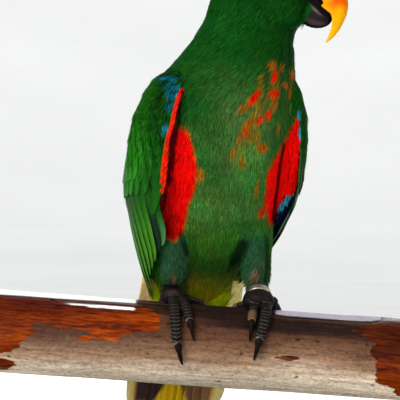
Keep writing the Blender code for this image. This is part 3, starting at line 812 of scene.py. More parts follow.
def scatter(points, spacing):
    """Picks candidates that keep their own spacing from each other, in a random order."""
    taken = {}
    kept = []
    cell = float(spacing.max())
    keys = np.floor(points / cell).astype(int)
    for i in rng.permutation(len(points)):
        key = tuple(keys[i])
        near = [
            j
            for dx in (-1, 0, 1) for dy in (-1, 0, 1) for dz in (-1, 0, 1)
            for j in taken.get((key[0] + dx, key[1] + dy, key[2] + dz), ())
        ]
        if near:
            apart = points[near] - points[i]
            if np.min(np.einsum("ij,ij->i", apart, apart)) < spacing[i] ** 2:
                continue
        taken.setdefault(key, []).append(i)
        kept.append(i)
    return np.array(kept)


def surface_samples(mesh, count):
    """Random points spread evenly over a mesh, with their smooth normals."""
    mesh.calc_loop_triangles()
    corners = np.empty(len(mesh.loop_triangles) * 3, np.int32)
    mesh.loop_triangles.foreach_get("vertices", corners)
    corners = corners.reshape(-1, 3)
    points, facing = points_of(mesh), normals_of(mesh)
    a, b, c = (points[corners[:, k]] for k in range(3))
    area = np.linalg.norm(np.cross(b - a, c - a), axis=1)
    chosen = rng.choice(len(corners), count, p=area / area.sum())
    u, v = rng.random((2, count))
    over = u + v > 1
    u[over], v[over] = 1 - u[over], 1 - v[over]
    share = np.stack([1 - u - v, u, v], axis=1)[:, :, None]
    at = np.sum(points[corners[chosen]] * share, axis=1)
    return at, unit(np.sum(facing[corners[chosen]] * share, axis=1))


# Roots tried for the small feathers
BODY_SAMPLES = 130000
WING_SAMPLES = 90000
EXTRA_TUFTS = 420
# A lock's sections with three points each, and its tip with one
LOCK_SECTIONS = np.array([0.0, 0.38, 0.72])
LOCK_WIDTHS = np.array([0.65, 1.0, 0.72])
LOCK_POINTS = [3, 3, 3, 1]
LOCK_SHADES = [0.40, 0.92, 1.16, 1.30]
LOCK_SIDES = np.array([-1, 0, 1, -1, 0, 1, -1, 0, 1, 0])
LOCK_QUADS = np.array([[0, 3, 4, 1], [1, 4, 5, 2], [3, 6, 7, 4], [4, 7, 8, 5]])[None]
LOCK_TIPS = np.array([[6, 9, 7], [7, 9, 8]])[None]
# How much of the skin's flat layout one feather's own small patch takes
PATCH_SIZE = 0.003


def make_tufts(name, roots, facing, lie, size, colour_at, look, slot, locks=6):
    """A feather at each root, of slim ridged locks that fan from its shaft and end in points.

    size holds, for each root: length, half width, coat depth, radius of the form below, and looseness.
    """
    length, half, depth, bend, loose = (size[:, k][:, None] for k in range(5))
    count = len(roots)
    across = np.cross(facing, lie)
    u = np.linspace(-1, 1, locks)[None, :] + rng.normal(0, 0.12, (count, locks))
    start = -0.35 * length + 0.12 * length * rng.random((count, locks))
    end = length * (0.62 - 0.16 * u ** 2) * (1 + rng.normal(0, 0.10, (count, locks)))
    sway = rng.normal(0, 0.06, (count, locks)) * half * (0.5 + loose)
    tip_lift = 0.05 + loose * np.abs(rng.normal(0, 0.5, (count, locks)))
    tip_lift = tip_lift * (0.2 + 0.8 * rng.random((count, 1)))
    slim = half / locks * 0.85 * (0.75 + 0.5 * rng.random((count, locks)))
    sections = np.append(LOCK_SECTIONS, 1.0)
    rows = []
    for s in sections:
        along = start + (end - start) * s
        y = half * u * (0.30 + 0.70 * s ** 0.8) + sway * s ** 2
        z = -depth * (1 - s ** 0.75) + tip_lift * s ** 2
        z = z - (along ** 2 + y ** 2) / (2 * bend) - 0.12 * np.abs(u)
        if s == 1.0:
            offsets = [(0.0, 0.0)]
        else:
            wide = slim * np.interp(s, LOCK_SECTIONS, LOCK_WIDTHS)
            offsets = [(-wide, -0.38 * wide), (0.0, 0.0), (wide, -0.38 * wide)]
        for dy, dz in offsets:
            rows.append((
                roots[:, None] + lie[:, None] * along[..., None] + across[:, None] * (y + dy)[..., None]
                + facing[:, None] * (z + dz)[..., None]
            ))
    points = np.stack(rows, axis=2)
    per_lock = points.shape[2]
    middle = roots[:, None] + lie[:, None] * (start + 0.62 * (end - start))[..., None] \
        + across[:, None] * (half * u * 0.8)[..., None]
    luck = np.clip(0.5 + 0.22 * rng.normal(size=(count, 1)) + 0.16 * rng.normal(size=(count, locks)), 0, 1)
    flat_facing = np.repeat(facing, locks, axis=0)
    colour = colour_at(middle.reshape(-1, 3), flat_facing, luck.ravel()).reshape(count, locks, 3)
    bright = np.exp(rng.normal(0, 0.27, (count, locks)) + rng.normal(0, 0.08, (count, 1)))
    shade = np.repeat(LOCK_SHADES, LOCK_POINTS)
    colours = colour[:, :, None] * (bright[:, :, None] * shade)[..., None]
    patch = np.stack([
        np.broadcast_to(np.repeat(sections, LOCK_POINTS) - 0.5, (count, locks, per_lock)),
        np.broadcast_to(u[:, :, None] * 0.4, (count, locks, per_lock)) + LOCK_SIDES * 0.08,
    ], axis=-1) * PATCH_SIZE
    places = skin_places(roots)[:, None, None] + patch
    first = (np.arange(count * locks) * per_lock)[:, None, None]
    faces = [(first + LOCK_QUADS).reshape(-1, 4), (first + LOCK_TIPS).reshape(-1, 3)]
    piece = build(name, points, faces, look, np.clip(colours, 0, 1), places)
    declare(piece, slot)


def tuft_sizes(points, part):
    """Length, half width, coat depth, radius below and looseness of the feathers at each point."""
    _, ahead, height = in_head(points)
    head = smooth(186, 206, height)
    face = smooth(10, 26, ahead) * smooth(194, 204, height)
    low = smooth(70, 20, height)
    length = 15.0 + 1.0 * low - 8.4 * head - 2.8 * face
    length = np.where(part == "thigh", 9.0 + 8.0 * smooth(32, 20, height), length)
    length = length - 2.2 * smooth(150, 175, height)
    eye = np.minimum(*(
        np.linalg.norm(points - head_point(sign * EYE[2], *EYE[:2]), axis=1) for sign in (-1, 1)
    ))
    length = length * (0.55 + 0.45 * smooth(6, 12, eye))
    bend = 45.0 - 25.0 * head - 12 * smooth(150, 175, height)
    bend = np.where(part == "thigh", 12.0 + 90.0 * smooth(34, 24, height), bend)
    loose = 0.35 + 0.5 * low + 0.25 * (part == "thigh") - 0.25 * head
    return np.stack([length, length * 0.24 + 0.4 * head, coat_depth(points), bend, loose], axis=1)


PARTS = {name: Solid(*nodes) for name, nodes in {
    "head": ["head"], "neck": ["neck"], "trunk": ["trunk"], "thigh": ["thigh_left", "thigh_right"],
    "wing": ["wing_left", "wing_right"],
}.items()}


def part_of(points):
    names = np.array(list(PARTS))
    return names[np.argmin([PARTS[name].distance(points) for name in names], axis=0)]


def make_body_tufts(look):
    points, facing = surface_samples(outer.data, BODY_SAMPLES)
    near = np.minimum(BILLS.distance(points), EYES.distance(points) + 0.4)
    points, facing = points[near > 0.9], facing[near > 0.9]
    part = part_of(points)
    size = tuft_sizes(points, part)
    spacing = 0.9 + 0.105 * size[:, 0] - 0.6 * smooth(9, 14, size[:, 0])
    kept = scatter(points, spacing)
    kept = kept[part[kept] != "wing"]
    points, facing, part, size = points[kept], facing[kept], part[kept], size[kept]
    lie = lie_of(points, facing)
    height = points[:, 2] - RAIL_TOP
    bands = [("head", height > 184), ("throat", (height > 150) & (height <= 184)),
             ("breast", (height > 100) & (height <= 150)), ("flank", (height > 55) & (height <= 100)),
             ("belly", height <= 55)]
    for name, chosen in bands:
        make_tufts("plumage_" + name, points[chosen], facing[chosen], lie[chosen], size[chosen],
                   body_colours, look, "plumage", locks=6 if name == "head" else 8)


def make_cheeks(look):
    """Small feathers from the cheeks that lie over the root of the lower bill."""
    height = 188.6 + 18.4 * rng.random(EXTRA_TUFTS)
    limit = np.interp(height, [188, 192, 199, 207], [22.0, 26.0, 30.5, 30.0])
    ahead = limit - 13.0 * rng.random(EXTRA_TUFTS) ** 1.3
    sign = np.where(np.arange(EXTRA_TUFTS) % 2, 1.0, -1.0)
    beside = 9.1 - 0.004 * (ahead - 18) ** 2 - 0.05 * np.clip(196 - height, 0, 9) ** 1.6
    roots = head_point(sign * beside, ahead, height)
    facing = unit(head_point(sign, 0.12, -0.1) - head_point(0, 0, 0))
    lie = over_surface(head_point(np.zeros(EXTRA_TUFTS), 0.42, -1.0) - head_point(0, 0, 0), facing)
    size = np.tile([5.4, 1.5, 1.0, 16.0, 0.12], (EXTRA_TUFTS, 1))
    make_tufts("plumage_cheeks", roots, facing, lie, size, body_colours, look, "plumage")


def vent_point(share, down):
    """Places between the legs: the share across, from the right thigh, and down over the tail's root."""
    left = -24.0 + (69.0 - 22.0 * down) * share
    forward = -31.0 - 12.0 * down - 5.0 * (2 * share - 1) ** 2 * (share < 0.5)
    return body_point(left, forward, 34.0 - 38.0 * down)


def vent_colours(points, facing, luck):
    x, z = points[..., 0], points[..., 2] - RAIL_TOP
    colour = mix(linear(30, 74, 12), linear(158, 176, 10), smooth(26, 8, z + 8 * (luck - 0.5)))
    colour = mix(colour, linear(20, 66, 22), (luck > 0.65) * 0.6)
    warm = smooth(1.3, 0.5, oval(x - 5, z - 10, 9, 6, 0))
    return mix(colour, linear(222, 150, 4), warm * (luck < 0.55))


def make_vent(look):
    """The soft feathers between the legs."""
    share, down = rng.random((2, EXTRA_TUFTS))
    roots = vent_point(share, down)
    step = 0.01
    lie = unit(vent_point(share - 0.25 * step, down + step) - roots)
    across = vent_point(share + step, down) - roots
    facing = unit(np.cross(across, lie))
    facing = facing * np.sign(-facing[:, 1:2])
    size = np.tile([14.0, 3.4, 1.4, 60.0, 0.5], (len(roots), 1))
    make_tufts("plumage_vent", roots, facing, lie, size, vent_colours, look, "plumage", locks=8)


# Vanes, for the wings and the tail


def make_vanes(name, surface, starts, ends, widths, lifts, radius_at, paint, look, slot,
               rows, columns, round_from, cells=False, ridge=0.2):
    """Closed thin feathers that lie along a surface, from starts to ends in its own two directions.

    surface takes both and radius_at the second; lifts are heights over the surface at root and tip.
    paint takes points, the share along, the place across from -1 to 1, and the feather's number.
    """
    count = len(starts)
    s = 1 - (1 - np.linspace(0, 1, rows)) ** 1.6
    route = starts[:, None] + (ends - starts)[:, None] * s[None, :, None]
    lift = lifts[:, :1] + (lifts[:, 1:] - lifts[:, :1]) * s[None]
    middle = surface(route[..., 0], route[..., 1], lift)
    up = unit(surface(route[..., 0], route[..., 1], lift + 1.0) - middle)
    along = unit(np.gradient(middle, axis=1))
    across = unit(np.cross(up, along))
    up = np.cross(along, across)
    blunt = np.sqrt(1 - np.clip((s - round_from) / (1.0001 - round_from), 0, 1) ** 2)
    half = widths[:, None] * (0.5 + 0.5 * smooth(0, 0.4, s)) * (0.04 + 0.96 * blunt)
    half = half * (1 + 0.05 * np.sin(s[None] * 9 + rng.random((count, 1)) * 6))
    c = np.linspace(-1, 1, columns)
    y = half[..., None] * c
    radius = radius_at(route[..., 1])[..., None]
    shaft = ridge * np.exp(-(c / 0.12) ** 2) * (1 - s[:, None] ** 2)
    z = -y ** 2 / (2 * radius) - 0.03 * half[..., None] * c ** 2 + shaft
    thick = 0.12 + 0.2 * (1 - c ** 2) * (1 - 0.7 * s[:, None])
    top = middle[:, :, None] + across[:, :, None] * y[..., None] + up[:, :, None] * z[..., None]
    under = top - up[:, :, None] * np.broadcast_to(thick, y.shape)[..., None]
    ring = np.concatenate([top, under[:, :, ::-1]], axis=2)
    length = np.linalg.norm(np.diff(middle, axis=1), axis=2).sum(axis=1)
    round_c = np.concatenate([c, c[::-1]])
    number = np.broadcast_to(np.arange(count)[:, None, None], ring.shape[:3])
    share = np.broadcast_to(s[None, :, None], ring.shape[:3])
    place = np.broadcast_to(round_c, ring.shape[:3])
    is_top = np.broadcast_to(np.arange(2 * columns) < columns, ring.shape[:3])
    colours = paint(ring, share, place, number, is_top)
    barbs = share * length[:, None, None] - np.abs(place) * half[..., None] * 0.9
    if cells:
        side = int(np.ceil(np.sqrt(count)))
        root = (stacked(np.arange(count) % side, np.arange(count) // side) + 0.5) / side
        size = 0.9 / side
    else:
        root = skin_places(middle[:, 0])
        size = PATCH_SIZE
    shift = stacked(np.where(is_top, place * 0.5, place * 0.5 + 0.02), share - 0.5) * size
    places = root[:, None, None] + shift
    per = rows * 2 * columns
    faces = grid_faces(rows, 2 * columns, True)
    caps = []
    for row in (0, rows - 1):
        base = row * 2 * columns
        cap = np.array([[base + k, base + k + 1, base + 2 * columns - 2 - k, base + 2 * columns - 1 - k]
                        for k in range(columns - 1)])
        caps.append(cap[:, ::-1] if row == 0 else cap)
    faces = np.concatenate([faces, *caps])
    faces = (faces[None, :, ::-1] + np.arange(count)[:, None, None] * per).reshape(-1, 4)
    piece = build(name, ring, [faces], look, np.clip(colours, 0, 1), places, Barb=barbs)
    declare(piece, slot)


def wing_form(height):
    rows = WING.T
    return [np.interp(height, rows[0], row) for row in rows[1:]]


def wing_surface(side):
    def surface(angle, height, out):
        forward, width, depth, _, _ = wing_form(height)
        turn = np.radians(angle)
        return body_point(
            side * (width + out) * np.sin(turn), forward + (depth + out) * np.cos(turn), height)

    return surface


def wing_radius(height):
    _, width, depth, _, _ = wing_form(height)
    return 0.5 * (width + depth)


def per_degree(height):
    """How far one degree is over the wing's face."""
    return np.radians(wing_radius(height))


def on_wing(points):
    """The wing's own angle from the breast, and the distance behind its front edge, of points near it."""
    side, forward, height = in_body(points)
    middle, width, depth, front, _ = wing_form(height)
    angle = np.degrees(np.arctan2(np.abs(side) / width, (forward - middle) / depth))
    return angle, (angle - front) * per_degree(height), height


WING_GREEN = linear(34, 116, 20)
WING_DARK = linear(13, 60, 10)
WING_PALE = linear(88, 148, 44)
BLUE = linear(12, 98, 112)
NAVY = linear(8, 30, 66)
# Blue of the near wing: height, distance behind the front edge, and the half size along each
BLUE_PATCHES = [(150.5, 12.0, 2.6, 9.0), (145.0, 6.5, 3.4, 6.0), (139.5, 6.0, 3.0, 4.0),
                (133.0, 3.4, 6.5, 1.6), (131.5, 5.0, 2.0, 3.0), (116.5, 5.0, 4.8, 2.6),
                (106.0, 3.6, 7.0, 0.8)]
TEAL_TIP = linear(104, 160, 112)
WING_TUFTS_ABOVE = 66.0


def wing_blue(edge, height, luck):
    """Where the small coverts near the bend are blue."""
    reach = np.min([
        np.hypot((height - h) / half_h, (edge - e) / half_e) for h, e, half_h, half_e in BLUE_PATCHES
    ], axis=0)
    return reach < 0.55 + 0.7 * luck


def wing_ground(edge, height, luck):
    """The green of the coverts: dark behind the front edge and brighter further round."""
    share = 0.12 + (0.7 - 0.35 * smooth(46, 70, edge)) * smooth(14, 30, edge) + 0.5 * (luck - 0.4)
    column = np.sin((edge - 0.3 * (height - 40) + 4 * np.sin(height / 31.0)) * 2 * pi / 8.5)
    shade = 1 - 0.5 * smooth(0.80, 0.97, column) + 0.3 * smooth(-0.86, -0.98, column)
    shade = 1 + (shade - 1) * smooth(132, 112, height)
    return mix(WING_DARK, WING_GREEN, np.clip(share, 0, 1)) * shade[..., None]


def wing_slant(height):
    """The angle, in degrees, at which the coverts turn back from straight down."""
    return -10.0 + 36.0 * smooth(112, 150, height)


def wing_tuft_colours(points, facing, luck):
    _, edge, height = on_wing(points)
    x = points[..., 0]
    colour = wing_ground(edge, height, luck)
    blue = wing_blue(edge, height, luck) & (x < 20)
    colour = mix(colour, BLUE * (0.5 + 1.2 * luck[..., None]), blue)
    colour = mix(colour, NAVY, blue & (luck < 0.25))
    red = mix(DEEP_RED, RED, smooth(0.1, 0.6, luck))
    near_strip = (x < 20) & (edge < 0.5) & (height < 144) & (height > 66)
    far = (inside(FAR_WING_RED, x, height) > -0.8 + 1.6 * luck) & (facing[..., 1] < 0.3)
    colour = mix(colour, red * (1 + 0.35 * far[..., None]), near_strip | far)
    under = (x > 44) & (edge > -2) & (edge < 6) & (height < 76) & ~far
    colour = mix(colour, mix(linear(6, 10, 20), NAVY, luck), under)
    for (cx, cz), half_width, half_length, turned in FAR_BLUES:
        near_blue = oval(x - cx, height - cz, half_width, half_length, turned) < 0.7 + 0.6 * luck
        colour = mix(colour, mix(BLUE, linear(70, 150, 180), luck), near_blue & (facing[..., 1] < 0.3))
    # Painted shade: dark red along the near wing's front edge, in the hollow beside the flank
    hollow = (edge < 1.2) & (x < 20) & (height < 142) & (height > 54)
    colour = mix(colour, linear(120, 4, 6), hollow)
    # Painted shade: the folds, and a darker upper part of the near wing; with the dark red band, all three
    # darken the colour
    wing_fold_shade = painted_crease_shade(points) * ((x > 20) | (height > 146))
    top = smooth(88, 142, height) * (x < 30) * smooth(0, 6, edge)
    for share in (0.62 * hollow, 0.85 * wing_fold_shade, 0.5 * top):
        colour = colour * (1 - share)[..., None]
    return colour


def make_wing_tufts(look):
    """The small soft coverts of the upper wing and along its front edge."""
    points, facing = surface_samples(outer.data, WING_SAMPLES)
    chosen = part_of(points) == "wing"
    points, facing = points[chosen], facing[chosen]
    _, edge, height = on_wing(points)
    limit = WING_TUFTS_ABOVE + 1.4 * np.clip(edge, 0, 26) - 1.2 * np.clip(edge - 34, 0, 20)
    limit = limit + rng.normal(0, 3.0, len(height))
    chosen = ((edge < 4) & (height > 36)) | (height > limit)
    points, facing, edge, height = (rows[chosen] for rows in (points, facing, edge, height))
    small = smooth(6, 1, edge)
    length = 9.5 - 3.2 * small + 2.0 * smooth(140, 110, height)
    length = length + 5.0 * smooth(112, 84, height) * (1 - small)
    size = np.stack([length, length * 0.26, np.full(len(points), 2.0), 40.0 - 28.0 * small,
                     np.full(len(points), 0.2)], axis=1)
    kept = scatter(points, 0.8 + length * 0.12)
    points, facing, size, height = points[kept], facing[kept], size[kept], height[kept]
    sign = np.sign(in_body(points)[0])
    turn = np.radians(on_wing(points)[0])
    slope = np.tan(np.radians(wing_slant(height)))
    lie = body_point(sign * np.cos(turn) * slope, -np.sin(turn) * slope - 0.12, -1.0) - body_point(0, 0, 0)
    lie = over_surface(lie, facing)
    make_tufts("plumage_wings", points, facing, lie, size, wing_tuft_colours, look, "wing_feathers")


def make_wing(name, side, look):
    surface = wing_surface(side)

    def row_of(height, pitch, length, width, first_edge, slant):
        """Starts and ends of one row of coverts across the wing at a height."""
        starts, ends = [], []
        front, back = wing_form(height)[3:]
        reach = (back - front) * per_degree(height) - 5.0
        for k in range(int((reach - first_edge) / pitch) + 1):
            e = first_edge + (k + 0.5 * (int(height) % 2)) * pitch + rng.normal(0, 0.3)
            h = height + rng.normal(0, 0.8) - 0.06 * e
            run = length * (1 + rng.normal(0, 0.05)) * (1 - 0.5 * smooth(3, 24, e))
            turn = radians(slant + rng.normal(0, 2.0))
            low = h - run * 0.75 * cos(turn)
            end = max(e + run * sin(turn), width - 0.4)
            starts.append((front + e / per_degree(h), h + run * 0.25))
            ends.append((wing_form(low)[3] + end / per_degree(low), low))
        return starts, ends

    def paint_coverts(points, share, place, number, is_top):
        _, edge, height = on_wing(points)
        luck = luck_of[number]
        colour = wing_ground(edge, height, np.clip(0.35 + 0.45 * (luck - 0.5) + 0.25 * share, 0, 1))
        rim = smooth(0.8, 1.0, np.maximum(np.abs(place), smooth(0.85, 1.0, share)))
        colour = mix(colour, WING_PALE, 0.08 * rim * is_top)
        colour = mix(colour, WING_DARK, 0.5 * (np.abs(place) < 0.08) + 0.5 * smooth(0.5, 0.1, share))
        return colour * (0.85 + 0.3 * luck[..., None])

    starts, ends, widths = [], [], []
    for height, pitch, length, width, slant in ((98, 7.4, 38, 5.0, -9), (92, 8.2, 46, 5.4, -12)):
        row_starts, row_ends = row_of(height, pitch, length, width, 4.6, slant)
        starts += row_starts
        ends += row_ends
        widths += [width] * len(row_starts)
    starts, ends, widths = np.array(starts), np.array(ends), np.array(widths)
    luck_of = rng.random(len(starts))
    lifts = stacked(-2.2, -0.9 + 0.012 * (starts[:, 1] - 90) + 0.25 * luck_of)
    make_vanes(name + "_coverts", surface, starts, ends, widths, lifts, wing_radius, paint_coverts, look,
               "wing_feathers", rows=12, columns=7, round_from=0.6, ridge=0.10)

    tips = [(55, 39.5), (59, 36), (66, 29), (71, 24), (77, 19), (84, 13), (92, 8), (101, 4), (111, 1),
            (122, -2), (134, -3), (146, 0), (157, 8)]
    starts = np.array([(66 + 7.4 * k, 94 + 2.6 * max(min(k, 9 - k), 0)) for k in range(len(tips))])
    far_tips = [(114, -8), (122, -18), (130, -27), (137, -35), (143, -42), (148, -48), (150, -53)]
    far_starts = np.array([(84 + 6 * k, 60) for k in range(len(far_tips))])
    lifts = np.array([(-2.2 - 0.1 * k - 2.6 * (k > 9), -0.6 - 0.13 * k) for k in range(len(tips))]
                     + [(-3.9 + 0.08 * k, -2.6 + 0.16 * k) for k in range(len(far_tips))])
    widths = np.array([6.0, 5.2] + [6.6] * (len(tips) - 2) + [6.4, 6.4, 6.2, 6.0, 5.8, 5.4, 5.0])

    flight_luck = rng.random(len(tips) + len(far_tips))

    def paint_flight(points, share, place, number, is_top):
        primary = number >= len(tips)
        inner = number > 1
        behind = place * side
        front_web = smooth(0.1, 0.8, -place * side)
        to_tip = smooth(0.55, 1.0, share)
        bright = smooth(0.25, 0.9, share) * (0.15 + 0.85 * inner) * (0.6 + 0.4 * flight_luck[number])
        colour = layered(
            linear(18, 76, 14),
            (linear(54, 128, 22), bright),
            (linear(10, 44, 16), 0.7 * smooth(-0.1, 0.7, behind)),
            (linear(110, 164, 48), 0.35 * smooth(0.8, 1.0, front_web) * smooth(0.4, 0.8, share) * inner),
            (linear(8, 26, 52), 0.7 * primary * smooth(0.2, 0.9, behind) * smooth(0.9, 0.4, share)),
            (linear(10, 13, 14), 0.85 * primary * to_tip * smooth(0.95, 0.75, front_web)),
            (TEAL_TIP, 0.6 * (number == 0) * to_tip * smooth(0.0, 0.9, front_web)),
            (linear(20, 12, 38), 0.75 * (number == 1) * smooth(0.45, 0.7, share)),
            (linear(10, 26, 10), 0.8 * (np.abs(place) < 0.06)),
        )
        return np.where(is_top[..., None], colour, linear(14, 14, 17))

    make_vanes(name + "_flight", surface, np.concatenate([starts, far_starts]),
               np.array(tips + far_tips, float), widths, lifts, wing_radius, paint_flight, look,
               "wing_feathers", rows=26, columns=9, round_from=0.74, cells=True, ridge=0.18)
    if side < 0:
        make_strip(name, side, surface, look)


def make_strip(name, side, surface, look):
    """The rolled front edge of the wing, in small red feathers that lie down along it."""
    starts, ends, widths, lifts = [], [], [], []
    top, count = 142.5, 14
    for row, (edge, lift) in enumerate(((0.9, 0.1), (-0.9, 0.3))):
        for k in range(count):
            h = top - 4.5 * k - 1.8 * row
            spread = (0.75 + 0.35 * smooth(112, 98, h)) * (1 - 0.7 * smooth(88, 76, h))
            low = h - 9.0

            def shifted(at):
                bulge = 2.2 * smooth(74, 92, at) * smooth(120, 106, at)
                return edge * spread + bulge - 1.0 * smooth(108, 124, at)

            starts.append((wing_form(h)[3] + shifted(h) / per_degree(h), h))
            ends.append((wing_form(low)[3] + (shifted(low) - 0.1) / per_degree(low), low))
            widths.append(1.35 * spread)
            lifts.append((lift - 1.2, lift))
    luck_of = rng.random(len(starts))

    def paint(points, share, place, number, is_top):
        colour = mix(linear(160, 4, 1), linear(226, 16, 2), np.clip(0.2 + 0.8 * luck_of[number], 0, 1))
        # Painted highlight: orange down the middle of each small feather, toward its tip
        shaft = smooth(0.6, 0.2, np.abs(place))
        colour = mix(colour, linear(230, 70, 8), 0.45 * shaft * smooth(0.4, 0.9, share))
        return mix(colour, linear(214, 84, 6), 0.6 * smooth(0.3, 1.0, place * side) * (number < count))

    make_vanes(name + "_edge", surface, np.array(starts), np.array(ends), np.array(widths), np.array(lifts),
               wing_radius, paint, look, "wing_feathers", rows=7, columns=5, round_from=0.6, ridge=0.12)


# Tail


def tail_surface(across, reach, lift):
    forward = TAIL_ROOT_FORWARD - reach * sin(TAIL_LEAN) - lift * cos(TAIL_LEAN)
    return body_point(across, forward, TAIL_ROOT_HEIGHT - reach * cos(TAIL_LEAN) + lift * sin(TAIL_LEAN))


TAIL_DARK = linear(72, 52, 48)
TAIL_GREEN = linear(30, 104, 34)
TAIL_TEAL = linear(22, 92, 84)
TAIL_YELLOW = linear(250, 206, 90)
TAIL_PALE = linear(252, 232, 160)


def make_tail(look):
    k = (np.arange(TAIL_FEATHERS) - (TAIL_FEATHERS - 1) / 2) / ((TAIL_FEATHERS - 1) / 2)
    arch = 4.0 * (1 - k ** 2) - 2.2 - 1.2 * np.abs(k)
    flared = smooth(0.55, 1.0, k)
    roots = 0.5 + 25.5 * k + 6.0 * flared - 5.0 * smooth(0.6, 1.0, -k)
    starts = np.stack([roots, -12.0 + 6.0 * k ** 2], axis=1)
    ends = np.stack([1.0 + 26.5 * k, TAIL_LENGTH - TAIL_SIDE_DROP * k ** 2], axis=1)
    lifts = np.stack([arch * 0.5 + 0.3 - 10.0 * flared, arch + 0.6 - 1.5 * flared], axis=1)

    def paint(points, share, place, number, is_top):
        left = in_body(points)[0]
        reach = share * (TAIL_LENGTH + 12.0) - 12.0
        half = np.interp(reach, [-12, 45, 107], [33, 36, 33]) + (left > 0) * smooth(40, -6, reach) * 9.0
        outer_edge = smooth(0.79, 0.86, np.abs(left) / half + 0.16 * smooth(34, 18, reach))
        wedge = smooth(1.5, 0.2, np.abs(left - 0.5) - 0.42 * np.clip(reach - 66, 0, 40))
        outward = np.abs(left) / half
        below = mix(TAIL_DARK, linear(166, 118, 80), 0.85 * smooth(4, 12, left) * smooth(40, 60, reach))
        yellow = mix(TAIL_YELLOW, TAIL_PALE, smooth(0.84, 0.95, outward))
        yellow = mix(linear(255, 206, 24), yellow, smooth(0.2, 0.5, outward))
        yellow = mix(yellow, linear(255, 208, 140), smooth(28, 16, reach) * (left < 0))
        yellow = mix(yellow, linear(255, 240, 150), smooth(36, 24, reach) * (left > 0))
        edge = np.maximum(np.maximum(outer_edge, wedge * (reach > 60)), 0.9 * smooth(0.93, 0.985, share))
        above = layered(
            TAIL_GREEN,
            (TAIL_TEAL, smooth(0.5, 0.9, share)),
            (linear(206, 190, 70), 0.8 * smooth(0.93, 1.0, share)),
            (linear(20, 50, 22), 0.7 * (np.abs(place) < 0.07)),
        )
        return np.where(is_top[..., None], above, mix(below, yellow, edge))

    make_vanes("tail_feathers", tail_surface, starts, ends, np.full(TAIL_FEATHERS, 8.6), lifts,
               lambda reach: np.full(reach.shape, 60.0), paint, look, "tail_feathers",
               rows=26, columns=11, round_from=0.86, cells=True)


# Bill, eyes and lids


def spline(rows, count):
    """A table's rows resampled evenly on a smooth curve through them."""
    rows = np.array(rows, float)
    t = np.linspace(0, len(rows) - 1, count)
    k = np.clip(t.astype(int), 0, len(rows) - 2)
    u = (t - k)[:, None]
    before, a, b, after = (rows[np.clip(k + step, 0, len(rows) - 1)] for step in (-1, 0, 1, 2))
    curve = 2 * before - 5 * a + 4 * b - after + u * (3 * (a - b) + after - before)
    return a + 0.5 * u * (b - before + u * curve)


def capped(rows, columns):
    """Faces of a closed tube of rings, with a fan over each end."""
    ring = np.arange(columns)
    following = (ring + 1) % columns
    middle = rows * columns
    last = middle - columns
    return [
        grid_faces(rows, columns, True),
        np.stack([np.full(columns, middle), ring, following], axis=1),
        np.stack([np.full(columns, middle + 1), last + ring, last + following], axis=1),
    ]


def with_ends(rings):
    """The points of a tube of rings, with the middle point of each end."""
    return np.concatenate([rings.reshape(-1, 3), rings[:1].mean(axis=1), rings[-1:].mean(axis=1)])


def make_bill(name, table, paint, hollow, slot, look, rows=72, columns=41):
    """Half a bill: hoods from its ridge to its edges, hollow between them, with growth lines."""
    form = spline(table, rows)
    ridge, edge, width = form[:, None, 0:2], form[:, None, 2:4], form[:, None, 4]
    angle = np.linspace(-pi / 2, pi / 2, columns)[None]
    t = np.linspace(0, 1, rows)[:, None]
    grown = 1 + 0.004 * np.sin(t * 60) * np.cos(angle) + 0.006 * np.sin(angle * 12 + 4 * t)
    inner = hollow * smooth(0.92, 0.3, t) + 0.02

    def hood(share):
        middle = edge + (ridge - edge) * (np.cos(angle) * share * grown)[..., None]
        side = width * np.sign(np.sin(angle)) * np.abs(np.sin(angle)) ** 0.9 * (0.55 + 0.45 * share)
        return head_point(side, middle[..., 0], middle[..., 1])

    outside = hood(np.ones_like(t))
    rings = np.concatenate([outside, hood(inner)[:, ::-1]], axis=1)
    flat_angle = np.broadcast_to(angle, (rows, columns))
    colour_out = paint(np.broadcast_to(t, (rows, columns)), flat_angle, outside)
    colour_in = np.broadcast_to(linear(40, 22, 22), (rows, columns, 3))
    colours = np.concatenate([colour_out, colour_in], axis=1).reshape(-1, 3)
    colours = np.concatenate([colours, colour_out[:1, columns // 2], colour_out[-1:, columns // 2]])
    piece = build(name, with_ends(rings), capped(rows, 2 * columns), look, colours)
    declare(piece, slot, name.replace("horn_", "bill_"))


# Sections of the bill: ridge ahead and height, edge ahead and height, half width
BILL_UPPER = [
    (34.0, 222.6, 23.0, 212.5, 8.0), (40.1, 219.1, 26.6, 210.0, 9.4), (45.6, 214.4, 30.4, 207.2, 9.6),
    (50.0, 209.0, 34.8, 204.6, 9.2), (52.7, 203.7, 38.0, 200.2, 8.5), (53.2, 198.3, 36.5, 198.1, 7.8),
    (52.4, 192.6, 39.7, 195.2, 7.0), (50.3, 187.6, 42.7, 192.2, 5.9), (47.6, 182.6, 43.2, 186.6, 4.5),
    (43.9, 177.9, 41.4, 180.8, 2.9), (41.1, 175.5, 39.6, 177.0, 1.6), (38.5, 173.6, 38.0, 174.2, 0.6),
]
BILL_LOWER = [
    (19.7, 190.6, 25.0, 208.4, 7.8), (21.8, 188.3, 29.0, 207.2, 8.4), (24.4, 185.9, 32.6, 205.0, 8.5),
    (28.2, 184.2, 35.4, 202.0, 8.1), (32.6, 183.5, 37.0, 198.6, 7.3), (36.7, 184.0, 39.6, 195.2, 6.3),
    (40.1, 185.6, 41.6, 192.6, 4.9), (42.0, 187.8, 42.4, 190.4, 3.0),
]


